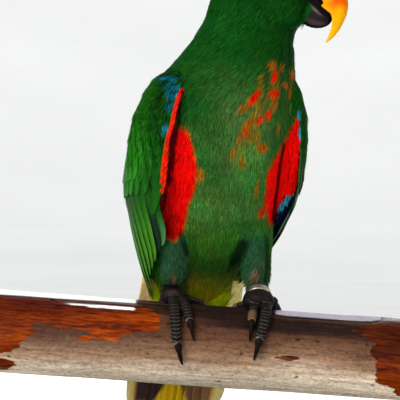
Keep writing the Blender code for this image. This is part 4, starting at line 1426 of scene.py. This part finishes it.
def paint_upper(t, angle, points):
    height = points[..., 2] - RAIL_TOP
    edge = smooth(0.85, 1.5, np.abs(angle))
    ridge = smooth(0.7, 0.15, np.abs(angle))
    low = height + 1.5 * np.sin(points[..., 0] * 0.6) + 3.0 * np.abs(angle)
    return layered(
        linear(226, 36, 1),
        (linear(244, 96, 1), smooth(209, 201, low)),
        (linear(250, 180, 1), smooth(203, 194, low)),
        (linear(252, 178, 8), 0.75 * edge * smooth(220, 206, low)),
        (linear(238, 140, 8), 0.4 * ridge * smooth(0.9, 0.4, t)),
        (linear(240, 206, 60), 0.8 * smooth(0.8, 1.0, t)),
    )


def paint_lower(t, angle, _):
    turned = np.abs(angle)
    # Painted light on the black horn: a purplish brown sheen over the sides, a highlight band low on each
    # side, and a pale highlight line along the cutting edge
    painted_gleam = 0.7 * smooth(0.22, 0.10, np.abs(turned - 0.62)) * smooth(0.0, 0.3, t) * smooth(0.9, 0.6, t)
    rim = smooth(0.09, 0.02, np.abs(turned - 1.18))
    return layered(
        linear(14, 7, 8),
        (linear(40, 29, 32), smooth(0.2, 0.9, turned) * smooth(1.5, 1.1, turned)),
        (linear(16, 9, 10), smooth(0.55, 1.0, t)),
        (linear(74, 60, 64), painted_gleam),
        (linear(150, 138, 134), 0.45 * rim * smooth(0.72, 0.4, t)),
        (linear(10, 5, 7), smooth(1.2, 1.28, turned)),
    )


EYE_COLUMNS = 96
LID_ROWS = 120
LID_COLUMNS = 18


def make_head_parts():
    for name, table, paint, hollow, slot, roughness, coat, streaks in (
        ("horn_upper", BILL_UPPER, paint_upper, 0.62, "bill_orange", 0.3, 0.06, (1.0, 1.0, 0.3)),
        ("horn_lower", BILL_LOWER, paint_lower, 0.7, "bill_black", 0.42, 0.04, (1.0, 1.0, 0.4)),
    ):
        make_bill(name, table, paint, hollow, slot, horn_look(slot, roughness, coat, streaks))
    ball_look, lid_look = eye_look(), foot_look()
    for side_name, side in SIDES.items():
        middle = head_point(side * EYE[2], EYE[0], EYE[1])
        out = unit(head_point(side * 1.0, 0.24, 0.04) - head_point(0, 0, 0))
        level = unit(np.cross(out, (0, 0, 1.0)))
        rise = np.cross(level, out)
        polar = np.radians(np.concatenate([np.linspace(0, 62, 60), np.linspace(66, 180, 24)]))[:, None]
        turn = (np.arange(EYE_COLUMNS) * 2 * pi / EYE_COLUMNS)[None]
        radius = EYE_RADIUS * (0.98 + 0.045 * np.exp(-(polar / radians(30)) ** 2))
        beside = np.cos(turn)[..., None] * level + np.sin(turn)[..., None] * rise
        ball = middle + (radius * np.cos(polar))[..., None] * out \
            + (radius * np.sin(polar))[..., None] * beside
        degrees = np.degrees(polar) + 0.0 * turn
        rays = np.append(rng.random(EYE_COLUMNS), 0.5)
        ray = 0.5 + 0.5 * np.interp(turn % (2 * pi), np.linspace(0, 2 * pi, len(rays)), rays)
        iris = mix(linear(150, 44, 6), linear(240, 118, 14), smooth(24, 34, degrees) * ray)
        iris = mix(iris, linear(110, 30, 8), smooth(39, 45, degrees))
        shade = mix(linear(6, 5, 6), iris, smooth(19.0, 20.5, degrees))
        shade = mix(shade, linear(14, 10, 10), smooth(43.5, 46, degrees))
        faces = [grid_faces(len(polar), EYE_COLUMNS, True)]
        piece = build("iris_" + side_name, ball, faces, ball_look, shade)
        declare(piece, "eye", "eye_" + side_name)
        rows, around = LID_ROWS, LID_COLUMNS
        turn = (np.arange(rows) * 2 * pi / rows)[:, None]
        roll = (np.arange(around) * 2 * pi / around)[None]
        bead = 1 + 0.16 * np.cos(turn * 30) + 0.05 * np.cos(turn * 7)
        reach = 4.15 + 0.25 * np.abs(np.cos(turn)) + 0.85 * bead * np.cos(roll)
        lift = 4.0 - 0.25 * np.cos(turn) ** 2 + 0.62 * bead * np.sin(roll)
        ring = middle + lift[..., None] * out + (reach * np.cos(turn))[..., None] * level \
            + (reach * 0.93 * np.sin(turn))[..., None] * rise
        shade = mix(linear(34, 30, 30), linear(92, 84, 80), smooth(0.3, 1.0, np.sin(roll) * bead - 0.2))
        first = np.arange(around)
        following = (first + 1) % around
        last = (rows - 1) * around
        joined = np.stack([last + first, last + following, following, first], axis=1)
        faces = np.concatenate([grid_faces(rows, around, True), joined])
        declare(build("lids_" + side_name, ring, [faces], lid_look, shade), "foot_skin")


# Feet, claws and ring

# X of each foot, then each toe's start, bend and end: place along the rail, angle from its top
FOOT_PLACE = {"right": -18.8, "left": 39.0}
TOES = {
    "right": {
        1: ((-15.0, -6.0), (-8.0, -20.0), (1.5, -33.0)),
        2: ((-15.5, 8.0), (-11.5, 34.0), (-7.8, 60.0)),
        3: ((-20.5, 8.0), (-18.0, 50.0), (-15.0, 91.0)),
        4: ((-22.5, -6.0), (-26.5, -30.0), (-28.5, -60.0)),
    },
    "left": {
        1: ((35.5, -6.0), (30.0, -18.0), (22.5, -30.0)),
        2: ((36.2, 9.0), (33.8, 31.0), (33.2, 54.0)),
        3: ((42.0, 8.0), (41.8, 44.0), (38.6, 78.0)),
        4: ((43.5, -6.0), (49.0, -26.0), (51.0, -56.0)),
    },
}
TOE_RADIUS = {1: 3.7, 2: 3.6, 3: 4.1, 4: 3.9}
TOE_LIFT = 0.82
# Spacing of the scutes along a toe, and of the round scales
SCUTE = 2.5
SCALE = 1.35
SCALE_SAMPLES = 9000


def toe_line(side, digit, count=90):
    """Points along a toe's middle, the outward direction at each, and the length up to each."""
    share = np.linspace(0, 1, count)[:, None]
    start, bend, end = (np.array(pair) for pair in TOES[side][digit])
    twice = 2 * share - 1
    at = start * twice * (share - 1) + 4 * bend * share * (1 - share) + end * share * twice
    distance = RAIL_RADIUS + TOE_RADIUS[digit] * TOE_LIFT
    line = rail_point(at[:, 0], at[:, 1], distance)
    out = rail_point(at[:, 0], at[:, 1], distance + 1.0) - line
    steps = np.linalg.norm(np.diff(line, axis=0), axis=1)
    return line, out, np.append(0, np.cumsum(steps))


def nearest_rows(points, places, count=1):
    """For each point, the numbers of the nearest places and their distances."""
    chosen, distance = [], []
    for block in np.array_split(points, max(1, len(points) // 4000)):
        apart = np.linalg.norm(block[:, None] - places[None], axis=2)
        order = np.argsort(apart, axis=1)[:, :count]
        chosen.append(order)
        distance.append(np.take_along_axis(apart, order, axis=1))
    return np.concatenate(chosen), np.concatenate(distance)


def make_foot(side):
    """Shank and toes as one skin, with scutes over the toes and small round scales elsewhere."""
    names = ["tarsus_" + side] + [f"toe_{side}_{digit}" for digit in TOE_RADIUS]
    foot = refined(node_mesh(*names), FOOT_VOXEL, 5)
    points, facing = points_of(foot.data), normals_of(foot.data)
    lines = [toe_line(side, digit) for digit in TOE_RADIUS]
    middle = np.concatenate([line for line, _, _ in lines])
    out = np.concatenate([line for _, line, _ in lines])
    reach = np.concatenate([line for _, _, line in lines])
    total = np.concatenate([np.full(len(line), line[-1]) for _, _, line in lines])
    digit = np.repeat(list(TOE_RADIUS), [len(line) for line, _, _ in lines])
    girth = np.repeat(list(TOE_RADIUS.values()), [len(line) for line, _, _ in lines])
    nearest, distance = nearest_rows(points, middle)
    nearest, distance = nearest[:, 0], distance[:, 0]
    offset = points - middle[nearest]
    top = np.sum(unit(offset) * out[nearest], axis=1)
    across = np.sqrt(np.clip(distance ** 2 - np.sum(offset * out[nearest], axis=1) ** 2, 0, None))
    toe = smooth(girth[nearest] + 2.4, girth[nearest] + 0.9, distance) * smooth(3.0, 8.0, reach[nearest])
    over = toe * smooth(-0.35, 0.15, top)
    phase = (reach[nearest] + 0.11 * across ** 2) / SCUTE
    part = phase % 1.0
    scute = 0.62 * (1 - part) ** 0.7 * smooth(0.0, 0.12, part) + 0.25
    spots, _ = surface_samples(foot.data, SCALE_SAMPLES)
    spots = spots[scatter(spots, np.full(len(spots), SCALE))]
    _, apart = nearest_rows(points, spots, 2)
    seam = apart[:, 1] - apart[:, 0]
    pebble = 0.42 * smooth(0.0, 0.75, seam)
    raised = over * scute + (1 - over) * pebble * (0.55 + 0.45 * smooth(0.6, -0.6, top))
    rise = points[:, 2] - RAIL_TOP + FOOT_PLACE[side] * np.tan(RAIL_SLOPE)
    slim = 0.62 + (2.0 * smooth(12, 18, rise) if side == "left" else 3.2 * smooth(7, 14, rise))
    slim = slim - (side == "left") * 2.8 * smooth(15, 11, rise) * smooth(1, 4, rise) * (1 - toe)
    move_points(foot.data, points + facing * (raised - slim)[:, None])
    luck = rng.random(len(spots))[nearest_rows(points, spots)[0][:, 0]]
    dark, brown, pale = linear(12, 7, 8), linear(36, 26, 25), linear(150, 136, 120)
    rim_toe = smooth(0.80, 0.93, part) * smooth(1.05, 0.97, part) + 0.5 * smooth(0.10, 0.0, part)
    side_rim = smooth(0.75, 0.2, top) * smooth(-0.5, -0.1, top)
    near_end = (total - reach)[nearest]
    end_rim = smooth(2.6, 1.7, near_end) * smooth(0.2, 0.7, near_end)
    tan = over * (digit[nearest] == 2) * (side == "left") * smooth(9.5, 7.5, near_end)
    colour = layered(
        dark,
        (brown, 0.25 + 0.5 * luck),
        (mix(dark, brown, 0.15 + 0.3 * (np.floor(phase) % 2)), over),
        (pale, over * rim_toe * (0.65 + 0.35 * side_rim)),
        (linear(84, 70, 62), (1 - over) * 0.35 * smooth(0.35, 0.0, seam)),
        (linear(176, 158, 130), over * 0.8 * end_rim),
        (linear(168, 128, 74), 0.55 * tan),
    )
    if side == "right":
        knuckle = np.linalg.norm(points - rail_point(-21.0, 14.0, RAIL_RADIUS + 7), axis=1)
        colour = mix(colour, linear(132, 108, 98), 0.25 * smooth(6, 2, knuckle))
    return foot, names, colour


def join_feet(body):
    """Adds both feet to the skin, so that one skin covers the whole bird."""
    look = foot_look()
    covered = []
    for side in SIDES:
        foot, names, colour = make_foot(side)
        set_look(foot.data, look)
        paint_points(foot.data, colour)
        covered += names
        with bpy.context.temp_override(active_object=body, selected_editable_objects=[body, foot],
                                       selected_objects=[body, foot], object=body):
            bpy.ops.object.join()
    return covered


def make_claws(look):
    """Curved black claws with a pale worn root."""
    for side in SIDES:
        names = [f"claw_{side}_{digit}" for digit in TOE_RADIUS]
        piece = refined(node_mesh(*names), CLAW_VOXEL, 5)
        piece.name = "claws_" + side
        points = points_of(piece.data)
        ends = np.array([toe_line(side, digit)[0][-1] for digit in TOE_RADIUS])
        near = np.linalg.norm(points[:, None] - ends[None], axis=2).min(axis=1)
        points = points + normals_of(piece.data) * (0.35 + 0.8 * smooth(5.0, 1.5, near))[:, None]
        move_points(piece.data, points)
        colour = mix(linear(120, 104, 88), linear(22, 15, 12), smooth(0.8, 2.6, near))
        colour = mix(colour, linear(52, 42, 36), 0.5 * smooth(8.5, 12.0, near))
        set_look(piece.data, look)
        paint_points(piece.data, colour)
        declare(piece, "claw_horn", *names)


# Two points on the ring's axis: Y, and height over the rail
RING_ENDS = ((4.2, 12.6), (0.2, 8.8))
RING_COLUMNS = 96


def lathe(profile, columns, start, axis):
    """Rings turned round an axis from a profile of radii and places along it."""
    axis = unit(np.array(axis, float))
    level = unit(np.cross(axis, (1.0, 0.0, 0.0)))
    third = np.cross(axis, level)
    turn = (np.arange(columns) * 2 * pi / columns)[None, :, None]
    radius, along = (np.array(column)[:, None, None] for column in zip(*profile))
    return np.array(start) + along * axis + radius * (np.cos(turn) * level + np.sin(turn) * third)


def make_ring():
    foot_x = FOOT_PLACE["left"]
    base = RAIL_TOP - foot_x * np.tan(RAIL_SLOPE)
    upper, lower = (np.array((foot_x, y, base + z)) for y, z in RING_ENDS)
    profile = [(7.5, -2.05), (7.7, -2.22), (8.1, -2.3), (8.42, -2.2), (8.58, -1.95), (8.6, -1.3),
               (8.6, 1.3), (8.58, 1.95), (8.42, 2.2), (8.1, 2.3), (7.7, 2.22), (7.5, 2.05),
               (7.4, 1.2), (7.4, -1.2)]
    rings = lathe(profile + profile[:1], RING_COLUMNS, lower, upper - lower)
    # This draw is not used, and it keeps the rail's own draws in their order
    rng.normal(size=rings.shape[:2])
    look = metal_look("ring_metal", (120, 108, 94), (222, 208, 188), 0.3, (1.0, 1.0, 0.2))
    piece = build("band", rings, [grid_faces(len(rings), RING_COLUMNS, True)], look)
    declare(piece, "ring_metal", "leg_ring")


# Rail and stand


def soft_noise(shape, reach):
    """A random field with an even spread, smoothed by its own reach along each side; it wraps around."""
    wave = np.fft.fft2(rng.normal(size=shape))
    for side, far in enumerate(reach):
        step = np.fft.fftfreq(shape[side]) * 2 * pi * far
        wave = wave * np.exp(-0.5 * step ** 2).reshape((-1, 1) if side == 0 else (1, -1))
    field = np.fft.ifft2(wave).real
    return field / field.std()


# Outlines on the rail: X, and the share of its height down from the top
# The first outlines are painted highlights: white bands along the rail's top edge and a ledge below it,
# where the varnish catches the light
PAINTED_HIGHLIGHTS = [
    [(-175, -0.1), (-44.5, -0.1), (-44.5, 0.040), (-110, 0.05), (-175, 0.06)],
    [(-97, 0.105), (-84, 0.100), (-72, 0.100), (-66, 0.095), (-46, 0.098), (-44.5, 0.112), (-46, 0.128),
     (-60, 0.130), (-66, 0.122), (-74, 0.126), (-80, 0.114), (-86, 0.116), (-91, 0.108)],
    [(48.5, -0.1), (48.5, 0.045), (56, 0.054), (76, 0.052), (96, 0.058), (112, 0.05), (119, 0.03),
     (122, -0.1)],
]
VARNISH = [
    [(-175, 0.05), (-44, 0.03), (-36, 0.08), (-25, 0.2), (-31, 0.35), (-40, 0.37), (-48, 0.43), (-59, 0.5),
     (-66, 0.46), (-80, 0.5), (-79, 0.43), (-75, 0.4), (-84, 0.36), (-113, 0.37), (-110, 0.45),
     (-114, 0.52), (-121, 0.66), (-134, 0.77), (-175, 0.8)],
    [(-175, 0.83), (-134, 0.81), (-121, 0.88), (-129, 0.97), (-175, 1.02)],
    [(100, 0.17), (112, 0.09), (119, 0.03), (175, -0.1), (175, 1.05), (134, 0.93), (128, 0.83), (118, 0.74),
     (117, 0.53), (111, 0.4), (116, 0.33), (108, 0.22)],
    [(51, 0.56), (60, 0.55), (65, 0.57), (60, 0.59), (52, 0.58)],
]
BACK_VARNISH = [
    [(-175, -0.1), (-70, -0.1), (-62, 0.2), (-84, 0.3), (-60, 0.42), (-96, 0.5), (-118, 0.7), (-175, 0.74)],
    [(96, -0.1), (175, -0.1), (175, 0.66), (128, 0.52), (140, 0.38), (104, 0.26)],
    [(-20, 0.32), (18, 0.3), (44, 0.36), (20, 0.42), (-12, 0.4)],
]


RAIL_ROWS = 308
RAIL_COLUMNS = 176
YEAR_RINGS = 60


def make_rail():
    rows, columns = RAIL_ROWS, RAIL_COLUMNS
    along = np.linspace(-RAIL_LENGTH / 2, RAIL_LENGTH / 2, rows)[:, None] + np.zeros((1, columns))
    angle = np.arange(columns)[None] * 360 / columns + np.zeros((rows, 1))
    down = (1 - np.cos(np.radians(angle))) / 2
    front = angle < 180
    girth = 2 * RAIL_RADIUS

    def within(outlines):
        scaled = [[(a, v * girth) for a, v in outline] for outline in outlines]
        return np.max([inside(outline, along, down * girth) for outline in scaled], axis=0)

    cover = np.maximum(np.where(front, within(VARNISH), within(BACK_VARNISH)), -9.0)
    varnish = np.clip(0.45 + cover / 9, 0, 1)
    # Painted highlight along the top edge
    painted_highlight = smooth(-0.25, 0.25, within(PAINTED_HIGHLIGHTS)) * (front | (angle > 320))
    grain = soft_noise(angle.shape, (14.0, 0.9))
    broad = soft_noise(angle.shape, (26.0, 7.0))
    dents = np.clip(soft_noise(angle.shape, (1.6, 1.2)) - 2.3, 0, 1)
    crack = np.clip(soft_noise(angle.shape, (16.0, 0.8)) - 1.9, 0, 1)
    end = np.abs(along) - RAIL_LENGTH / 2
    worn = 1.6 * np.exp(end / 0.9)
    ledge = 0.4 * np.exp(-((angle - 38) / 1.6) ** 2) * smooth(-98, -90, along) * smooth(-40, -46, along)
    bump = 0.10 * grain + 0.16 * broad - 0.9 * dents - 0.7 * crack - worn + ledge
    bump = bump + 0.22 * smooth(0.4, 0.6, varnish)
    points = rail_point(along, angle, RAIL_RADIUS + np.clip(bump, -1.8, 0.45) - 0.1)

    left = smooth(-26, -70, along)
    wave = down + 0.035 * broad + 0.02 * grain
    wave = wave - 0.07 * left + 0.07 * smooth(20, 80, along) * smooth(0.2, 0.35, wave)
    dark = mix(linear(36, 22, 17), linear(60, 42, 34), left)
    middle = mix(linear(92, 58, 40), linear(82, 52, 38), left)
    # Dark along the top, which under the bird stands for painted shadow; paler toward the bottom, the
    # wood's own pale tone made paler still as painted light on the underside
    colour = layered(
        dark,
        (middle, smooth(0.10, 0.36, wave)),
        (mix(linear(152, 116, 88), linear(176, 138, 110), left), smooth(0.34, 0.68, wave)),
        (linear(250, 228, 200), smooth(0.58, 0.94, wave)),
        (linear(92, 64, 46), 0.45 * smooth(0.8, 2.0, grain) * (wave < 0.75)),
        (linear(40, 26, 20), np.clip(2.5 * dents + 1.2 * crack, 0, 0.8)),
        (linear(120, 100, 82), 0.7 * ~front),
    )
    warm = smooth(0.10, 0.36, down + 0.04 * broad) * (0.45 + 0.55 * smooth(-106, -66, along))
    tint = mix(np.array([0.42, 0.30, 0.45]), np.array([1.25, 1.15, 0.06]), warm)
    far = smooth(96, 108, along)
    tint = mix(tint, np.array([0.26, 0.24, 0.4]), far * smooth(0.62, 0.4, down + 0.03 * broad))
    # Painted highlight: near white on the left, greyer on the right; where it lies the varnish value is set
    # below zero
    colour = mix(colour, mix(linear(254, 252, 247), linear(176, 168, 180), along > 0), painted_highlight)
    tint = mix(tint, np.array([0.55, 0.9, 2.2]), (along > 40) & (along < 80))
    varnish = np.where(painted_highlight > 0.02, -painted_highlight * np.where(along > 0, 0.5, 1.0), varnish)
    tint = mix(tint, np.array([0.75, 0.65, 0.6]), far * smooth(0.4, 0.6, down))

    caps, cap_colours, faces = [], [], [grid_faces(rows, columns, True)]
    total = rows * columns
    shares = np.linspace(1, 0, 30)[1:-1]
    rings = np.cumsum(0.6 + 0.8 * rng.random(YEAR_RINGS))
    for sign, row in ((-1, 0), (1, rows - 1)):
        base = rail_point(sign * RAIL_LENGTH / 2, 0, 0)
        edge = points[row] - base
        distance = np.linalg.norm(edge, axis=1)
        cap = base + edge[None] * shares[:, None, None]
        wobble = 1 + 0.05 * np.sin(np.radians(angle[:1]) * 3 + sign)
        wobble = distance[None] * shares[:, None] * wobble + 3.0
        ring = np.abs(((wobble[..., None] - rings) ** 2).min(axis=-1)) ** 0.5
        split = np.exp(-((angle[:1] - 205) / 3) ** 2) * smooth(0.15, 0.6, shares[:, None])
        groove = smooth(0.35, 0.0, ring)
        inward = np.array([cos(RAIL_SLOPE), 0, -sin(RAIL_SLOPE)])
        cap = cap - sign * ((0.35 * groove + 1.4 * split)[..., None] * inward)
        shade = mix(linear(150, 118, 86), linear(84, 58, 40), np.clip(groove + split, 0, 1))
        at = total + sum(len(c) for c in caps)
        caps.append(np.concatenate([cap.reshape(-1, 3), base[None]]))
        cap_colours.append(np.concatenate([shade.reshape(-1, 3), linear(96, 66, 44)[None]]))
        first = row * columns + np.arange(columns)
        grid = np.concatenate([first, at + np.arange(len(shares) * columns)]).reshape(-1, columns)
        turned = np.roll(grid, -1, axis=1)
        quads = np.stack([grid[:-1], turned[:-1], turned[1:], grid[1:]], axis=-1).reshape(-1, 4)
        fan = np.stack([grid[-1], turned[-1], np.full(columns, at + len(shares) * columns)], axis=1)
        faces += [quads[:, ::-1], fan[:, ::-1]] if sign > 0 else [quads, fan]
    count = total + sum(len(c) for c in caps)
    all_points = np.concatenate([points.reshape(-1, 3), *caps])
    all_colours = np.concatenate([colour.reshape(-1, 3), *cap_colours])
    all_tints = np.concatenate([tint.reshape(-1, 3), np.ones((count - total, 3))])
    varnish_and_highlight = np.append(varnish, np.zeros(count - total))
    piece = build("rail", all_points, faces, wood_look(), np.clip(all_colours, 0, 1),
                  tints=np.clip(all_tints, 0, 2), Varnish=varnish_and_highlight)
    declare(piece, "rail_wood", "perch")


ROD_X = 142.0
ROD_COLUMNS = 64


def make_stand():
    width, depth, corner = 150.0, 90.0, 14.0
    profile = [(3.0, 0.0), (0.9, 0.15), (0.25, 0.6), (0.0, 1.4), (0.0, 8.4), (0.2, 9.4), (0.7, 10.2),
               (1.3, 10.6), (1.5, 10.75), (1.7, 11.2), (2.3, 11.7), (3.2, 11.95), (4.6, 12.0)]
    rings = []
    for inset, height in profile:
        ring = []
        for k, (sx, sy) in enumerate(((1, 1), (-1, 1), (-1, -1), (1, -1))):
            turn = np.radians(np.linspace(90 * k, 90 * k + 90, 13))
            radius = max(corner - inset, 1.0)
            x = sx * (width - max(corner, inset + 1.0)) + radius * np.cos(turn)
            y = sy * (depth - max(corner, inset + 1.0)) + radius * np.sin(turn)
            ring.append(stacked(x, y, height))
        rings.append(np.concatenate(ring))
    piece = build("board", with_ends(np.array(rings)), capped(len(rings), len(rings[0])), paint_look())
    declare(piece, "stand_paint", "stand_base")
    look = metal_look("rod_metal", (120, 112, 100), (206, 196, 178), 0.26, (1.0, 1.0, 0.02), 0.2)
    for side, sign in SIDES.items():
        x = sign * ROD_X
        top = RAIL_AXIS_HEIGHT - x * np.tan(RAIL_SLOPE) - RAIL_RADIUS
        profile = [(3.8, 5.0), (4.0, 5.3), (4.0, 11.6), (8.2, 11.7), (8.6, 12.0), (8.6, 13.6), (8.3, 14.1),
                   (7.6, 14.4), (5.4, 14.5), (4.7, 14.8), (4.35, 15.6), (4.0, 16.8), (4.0, 40.0),
                   (4.0, 60.0)]
        profile += [(radius, top + over) for radius, over in (
            (4.0, -6.0), (4.4, -4.6), (5.4, -3.4), (6.4, -2.8), (6.6, -2.2), (6.6, 2.0), (4.0, 2.2),
            (4.0, 9.5))]
        rings = lathe(profile, ROD_COLUMNS, (x, 0, 0), (0, 0, 1))
        piece = build("post_" + side, with_ends(rings), capped(len(rings), ROD_COLUMNS), look)
        declare(piece, "rod_metal", "stand_rod_" + side)


# Stage


# The floor's radius and height, in metres
FLOOR_PROFILE = ((0.0, 0.0), (9.0, 0.0), (11.0, 0.15), (12.6, 0.8), (13.6, 2.0), (14.0, 3.6), (14.2, 7.0))
FLOOR_COLUMNS = 96


def make_stage():
    angle = np.arange(FLOOR_COLUMNS) * 2 * pi / FLOOR_COLUMNS
    rings = [stacked(radius * np.cos(angle), radius * np.sin(angle), height)
             for radius, height in FLOOR_PROFILE]
    floor_look = Look("floor", Roughness=0.8, Specular_IOR_Level=0.2)
    pale = floor_look.ramp(floor_look.noise(2.0, 3.0), (0.3, (226, 226, 224)), (0.7, (231, 231, 229)))
    floor_look.feed("Base Color", pale)
    points = np.concatenate(rings) / MM
    made = build("floor", points, [grid_faces(len(rings), FLOOR_COLUMNS, True)], floor_look.material)


CAMERA_DISTANCE = 3.2
# The photo's width in metres and its scale in millimetres a pixel
PHOTO_WIDTH = 0.268
PHOTO_SCALE = 0.67
# Rows of the photo: its middle, and the top of the rail above the origin
MIDDLE_ROW = 200
RAIL_ROW = 304
CAMERA_HEIGHT = (RAIL_TOP + (RAIL_ROW - MIDDLE_ROW) * PHOTO_SCALE) * MM


def make_camera():
    lens = bpy.data.cameras.new("camera")
    lens.lens = lens.sensor_width * CAMERA_DISTANCE / PHOTO_WIDTH
    lens.clip_end = 60.0
    made = linked("camera", lens)
    made.location = (0.0, -CAMERA_DISTANCE, CAMERA_HEIGHT)
    made.rotation_euler = (radians(90), 0.0, 0.0)
    bpy.context.scene.camera = made


def make_lights():
    world = bpy.context.scene.world or bpy.data.worlds.new("world")
    bpy.context.scene.world = world
    world.use_nodes = True
    background = world.node_tree.nodes["Background"]
    background.inputs["Color"].default_value = (0.93, 0.96, 1.0, 1.0)
    background.inputs["Strength"].default_value = 0.62
    for name, kind, place, size, power in (
        ("key", "SUN", (-1.5, -2.0, 2.2), radians(24), 1.9),
        ("back", "AREA", (-0.3, 2.6, 1.3), 1.9, 34.0),
        ("front", "AREA", (-0.7, -2.3, 0.35), 1.6, 24.0),
    ):
        lamp = bpy.data.lights.new(name, kind)
        if kind == "SUN":
            lamp.angle = size
        else:
            lamp.size = size
        lamp.energy = power
        made = linked(name, lamp)
        made.location = place
        aim = Vector((0, 0, 0.22)) - Vector(place)
        made.rotation_euler = aim.to_track_quat("-Z", "Y").to_euler()
    bpy.context.scene.view_settings.view_transform = "Standard"


make_stage()
make_camera()
make_lights()
outer = coat_form()
skin = make_skin(outer)
set_look(skin.data, skin_look())
skin_points = points_of(skin.data)
skin_facing = normals_of(skin.data)
skin_luck = np.full(len(skin_points), 0.4)
skin_colours = body_colours(skin_points, skin_facing, skin_luck)
on_wings = part_of(skin_points) == "wing"
skin_colours[on_wings] = wing_tuft_colours(skin_points, skin_facing, skin_luck)[on_wings]
paint_points(skin.data, skin_colours * SKIN_SHADE)
feet = join_feet(skin)
declare(skin, "foot_skin", *FLESH, "wing_left", "wing_right", *feet)
skin_places = unwrap_skin()
PLUMAGE = plumage_look()
VANE = vane_look()
make_body_tufts(PLUMAGE)
make_vent(PLUMAGE)
make_cheeks(PLUMAGE)
make_wing_tufts(PLUMAGE)
for side_name, side_sign in SIDES.items():
    make_wing("wing_" + side_name, side_sign, VANE)
make_tail(VANE)
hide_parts("tail")
bpy.data.objects.remove(outer)
make_head_parts()
make_claws(horn_look("claw_horn", 0.3, 0.1, (1.0, 1.0, 0.5)))
make_ring()
make_rail()
make_stand()
